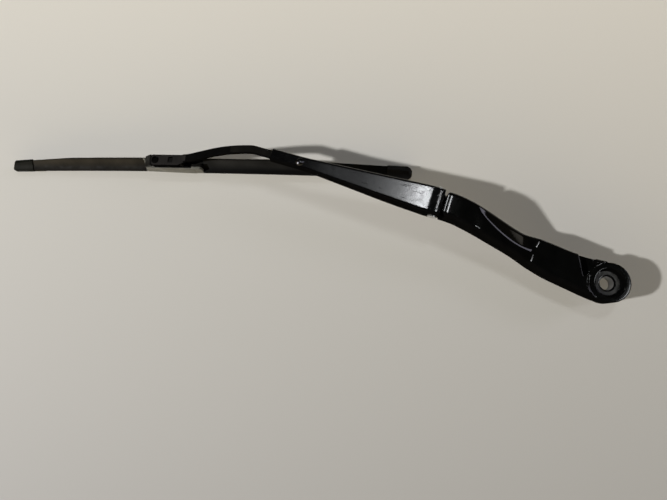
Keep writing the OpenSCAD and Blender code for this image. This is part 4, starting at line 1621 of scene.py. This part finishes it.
@dataclass
class Studio:
    """Floor, lamps and camera, in metres.

    Each panel has a name, its span along the arm, its brightness and its place across the arm.
    """

    image: Point = (667.0, 500.0)
    focal_px: float = 500.0
    eye: Place = (0.17179, 0.09502, 0.4484)
    look: Place = (0.12869, -0.12377, -0.98393)
    up: Place = (0.28712, -0.94503, 0.15643)
    floor_z: float = -0.018
    floor_half: float = 1.6
    panel_depth: float = 0.13
    panel_z: float = 1.0
    panels: tuple[tuple[str, Point, float, float], ...] = (
        ("ceiling_bright", (0.13, 0.168), 48.0, -0.292),
        ("ceiling_mid", (0.168, 0.235), 4.0, -0.292),
        ("ceiling_low", (0.235, 0.3), 2.3, -0.292),
        ("ceiling_dim", (0.3, 0.46), 0.8, -0.292),
        ("ceiling_foot", (-0.6, -0.46), 16.0, -0.185),
    )

    def camera(self) -> None:
        """Places the camera as the photograph's was."""
        data = bpy.data.cameras.new("photo_camera")
        data.sensor_width = 36.0
        data.lens = self.focal_px / self.image[0] * data.sensor_width
        data.clip_start = 0.01
        cam = bpy.data.objects.new("photo_camera", data)
        bpy.context.scene.collection.objects.link(cam)
        back = -Vector(self.look).normalized()
        right = Vector(self.up).cross(back).normalized()
        up = back.cross(right)
        turn = Matrix((right, up, back)).transposed().to_4x4()
        cam.matrix_world = Matrix.Translation(self.eye) @ turn
        bpy.context.scene.camera = cam

    def lamp(self, name: str, at: Sequence[float], size: Point, power: float,
             colour: Colour, aim: Sequence[float]) -> None:
        """Adds a soft lamp that faces a point.

        Args:
            name: Name of the lamp.
            at: Place of the lamp.
            size: Width and height of its panel.
            power: Power in watts.
            colour: Colour of its light.
            aim: Point that it faces.
        """
        data = bpy.data.lights.new(name, "AREA")
        data.shape = "RECTANGLE"
        data.size, data.size_y = size
        data.energy = power
        data.color = colour
        lamp = bpy.data.objects.new(name, data)
        lamp.location = at
        lamp.rotation_euler = (Vector(at) - Vector(aim)).to_track_quat("Z", "Y").to_euler()
        bpy.context.scene.collection.objects.link(lamp)

    def floor(self) -> None:
        """Lays the pale table top."""
        half, z = self.floor_half, self.floor_z
        corners = [(-half, -half, z), (half, -half, z), (half, half, z), (-half, half, z)]
        mesh = bpy.data.meshes.new("table_top")
        mesh.from_pydata(corners, [], [(0, 1, 2, 3)])
        table = new_object("table_top", mesh)
        mesh.materials.append(self.table_painted_shade())

    def table_painted_shade(self) -> bpy.types.Material:
        """Makes the table's matt white, with painted shade that greys it towards the near side.

        Returns:
            The finished material.
        """
        mat = bpy.data.materials.new("table_painted_shade")
        mat.use_nodes = True
        shader = mat.node_tree.nodes["Principled BSDF"]
        shader.inputs["Roughness"].default_value = 0.85
        shader.inputs["Specular IOR Level"].default_value = 0.1
        kit = ShaderKit(mat.node_tree)
        split = mat.node_tree.nodes.new("ShaderNodeSeparateXYZ")
        mat.node_tree.links.new(kit.place(), split.inputs["Vector"])
        # Painted shade: the white falls to grey towards the near side.
        across = kit.remap(split.outputs["Y"], -0.35, 0.35, 0.0, 1.0)
        colour = kit.ramp(across, [(0.0, (0.975, 0.945, 0.86)), (0.5, (0.625, 0.62, 0.59)),
                                   (1.0, (0.47, 0.468, 0.46))])
        mat.node_tree.links.new(colour, shader.inputs["Base Color"])
        return mat

    def room(self) -> bpy.types.World:
        """Makes a dim warm room that is lighter towards its near wall than overhead.

        Returns:
            The world, which the camera sees as a plain pale background.
        """
        world = bpy.data.worlds.new("room")
        world.use_nodes = True
        tree = world.node_tree
        kit = ShaderKit(tree)
        sky = tree.nodes["Background"]
        sky.inputs["Color"].default_value = (1.0, 0.83, 0.52, 1.0)
        split = tree.nodes.new("ShaderNodeSeparateXYZ")
        facing = tree.nodes.new("ShaderNodeTexCoord")
        tree.links.new(facing.outputs["Generated"], split.inputs["Vector"])
        wall = kit.remap(split.outputs["Z"], 0.35, 0.65, 1.15, 0.03)
        near = kit.remap(split.outputs["Y"], -0.1, 0.6, 0.04, 1.0)
        tree.links.new(kit.math("MULTIPLY", wall, near), sky.inputs["Strength"])
        seen = tree.nodes.new("ShaderNodeBackground")
        seen.inputs["Color"].default_value = (0.64, 0.62, 0.57, 1.0)
        pick = tree.nodes.new("ShaderNodeMixShader")
        ray = tree.nodes.new("ShaderNodeLightPath")
        tree.links.new(ray.outputs["Is Camera Ray"], pick.inputs[0])
        tree.links.new(sky.outputs["Background"], pick.inputs[1])
        tree.links.new(seen.outputs["Background"], pick.inputs[2])
        tree.links.new(pick.outputs["Shader"], tree.nodes["World Output"].inputs["Surface"])
        return world

    def panel(self, name: str, span: Point, radiance: float, y: float) -> None:
        """Adds a lamp overhead that the arm's flat top mirrors into the camera.

        Args:
            name: Name of the lamp.
            span: Where the panel starts and stops along the arm.
            radiance: Brightness of its face.
            y: Middle of the panel across the arm.
        """
        width = span[1] - span[0]
        at = ((span[0] + span[1]) / 2, y, self.panel_z)
        power = radiance * math.pi * width * self.panel_depth
        self.lamp(name, at, (width, self.panel_depth), power, (0.96, 0.98, 1.0), (at[0], at[1], 0.0))

    def build(self) -> None:
        """Sets up the whole studio."""
        bpy.context.scene.world = self.room()
        bpy.context.scene.view_settings.view_transform = "Standard"
        self.floor()
        self.lamp("window", (1.27, 0.7, 1.2), (0.07, 0.07), 23.3, (1.0, 0.98, 0.96), (0.25, 0.0, 0.0))
        for panel in self.panels:
            self.panel(*panel)
        self.lamp("far_window", (-1.34, -1.0, 1.0), (0.5, 0.5), 3.4, (0.88, 0.85, 1.0), (0.1, 0.0, 0.03))
        self.camera()


def main() -> None:
    """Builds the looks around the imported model."""
    logging.basicConfig(level=logging.INFO, format="%(message)s")
    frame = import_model()
    kinds = Finishes()
    walls = kinds.wall_paint.build()
    sprung = kinds.spring_steel.build()
    moulded = kinds.moulded_black.build()
    hinge = Hinge()
    Studio().build()
    Head(kinds.gloss_paint.build(), walls, kinds.worn_seat.build(), hinge).build()
    BoreKnurl(kinds.cast_metal.build()).build()
    Retainer(kinds.arm_paint.build(), walls, hinge).build()
    Rod(frame, kinds.satin_paint.build(), walls, kinds.tip_paint.build()).build()
    Spring(sprung).build()
    Blade(frame, kinds, moulded).build()
    Latch(frame, kinds, moulded).build()
    Hardware(frame, kinds, sprung).build()


if __name__ == "__main__":
    main()
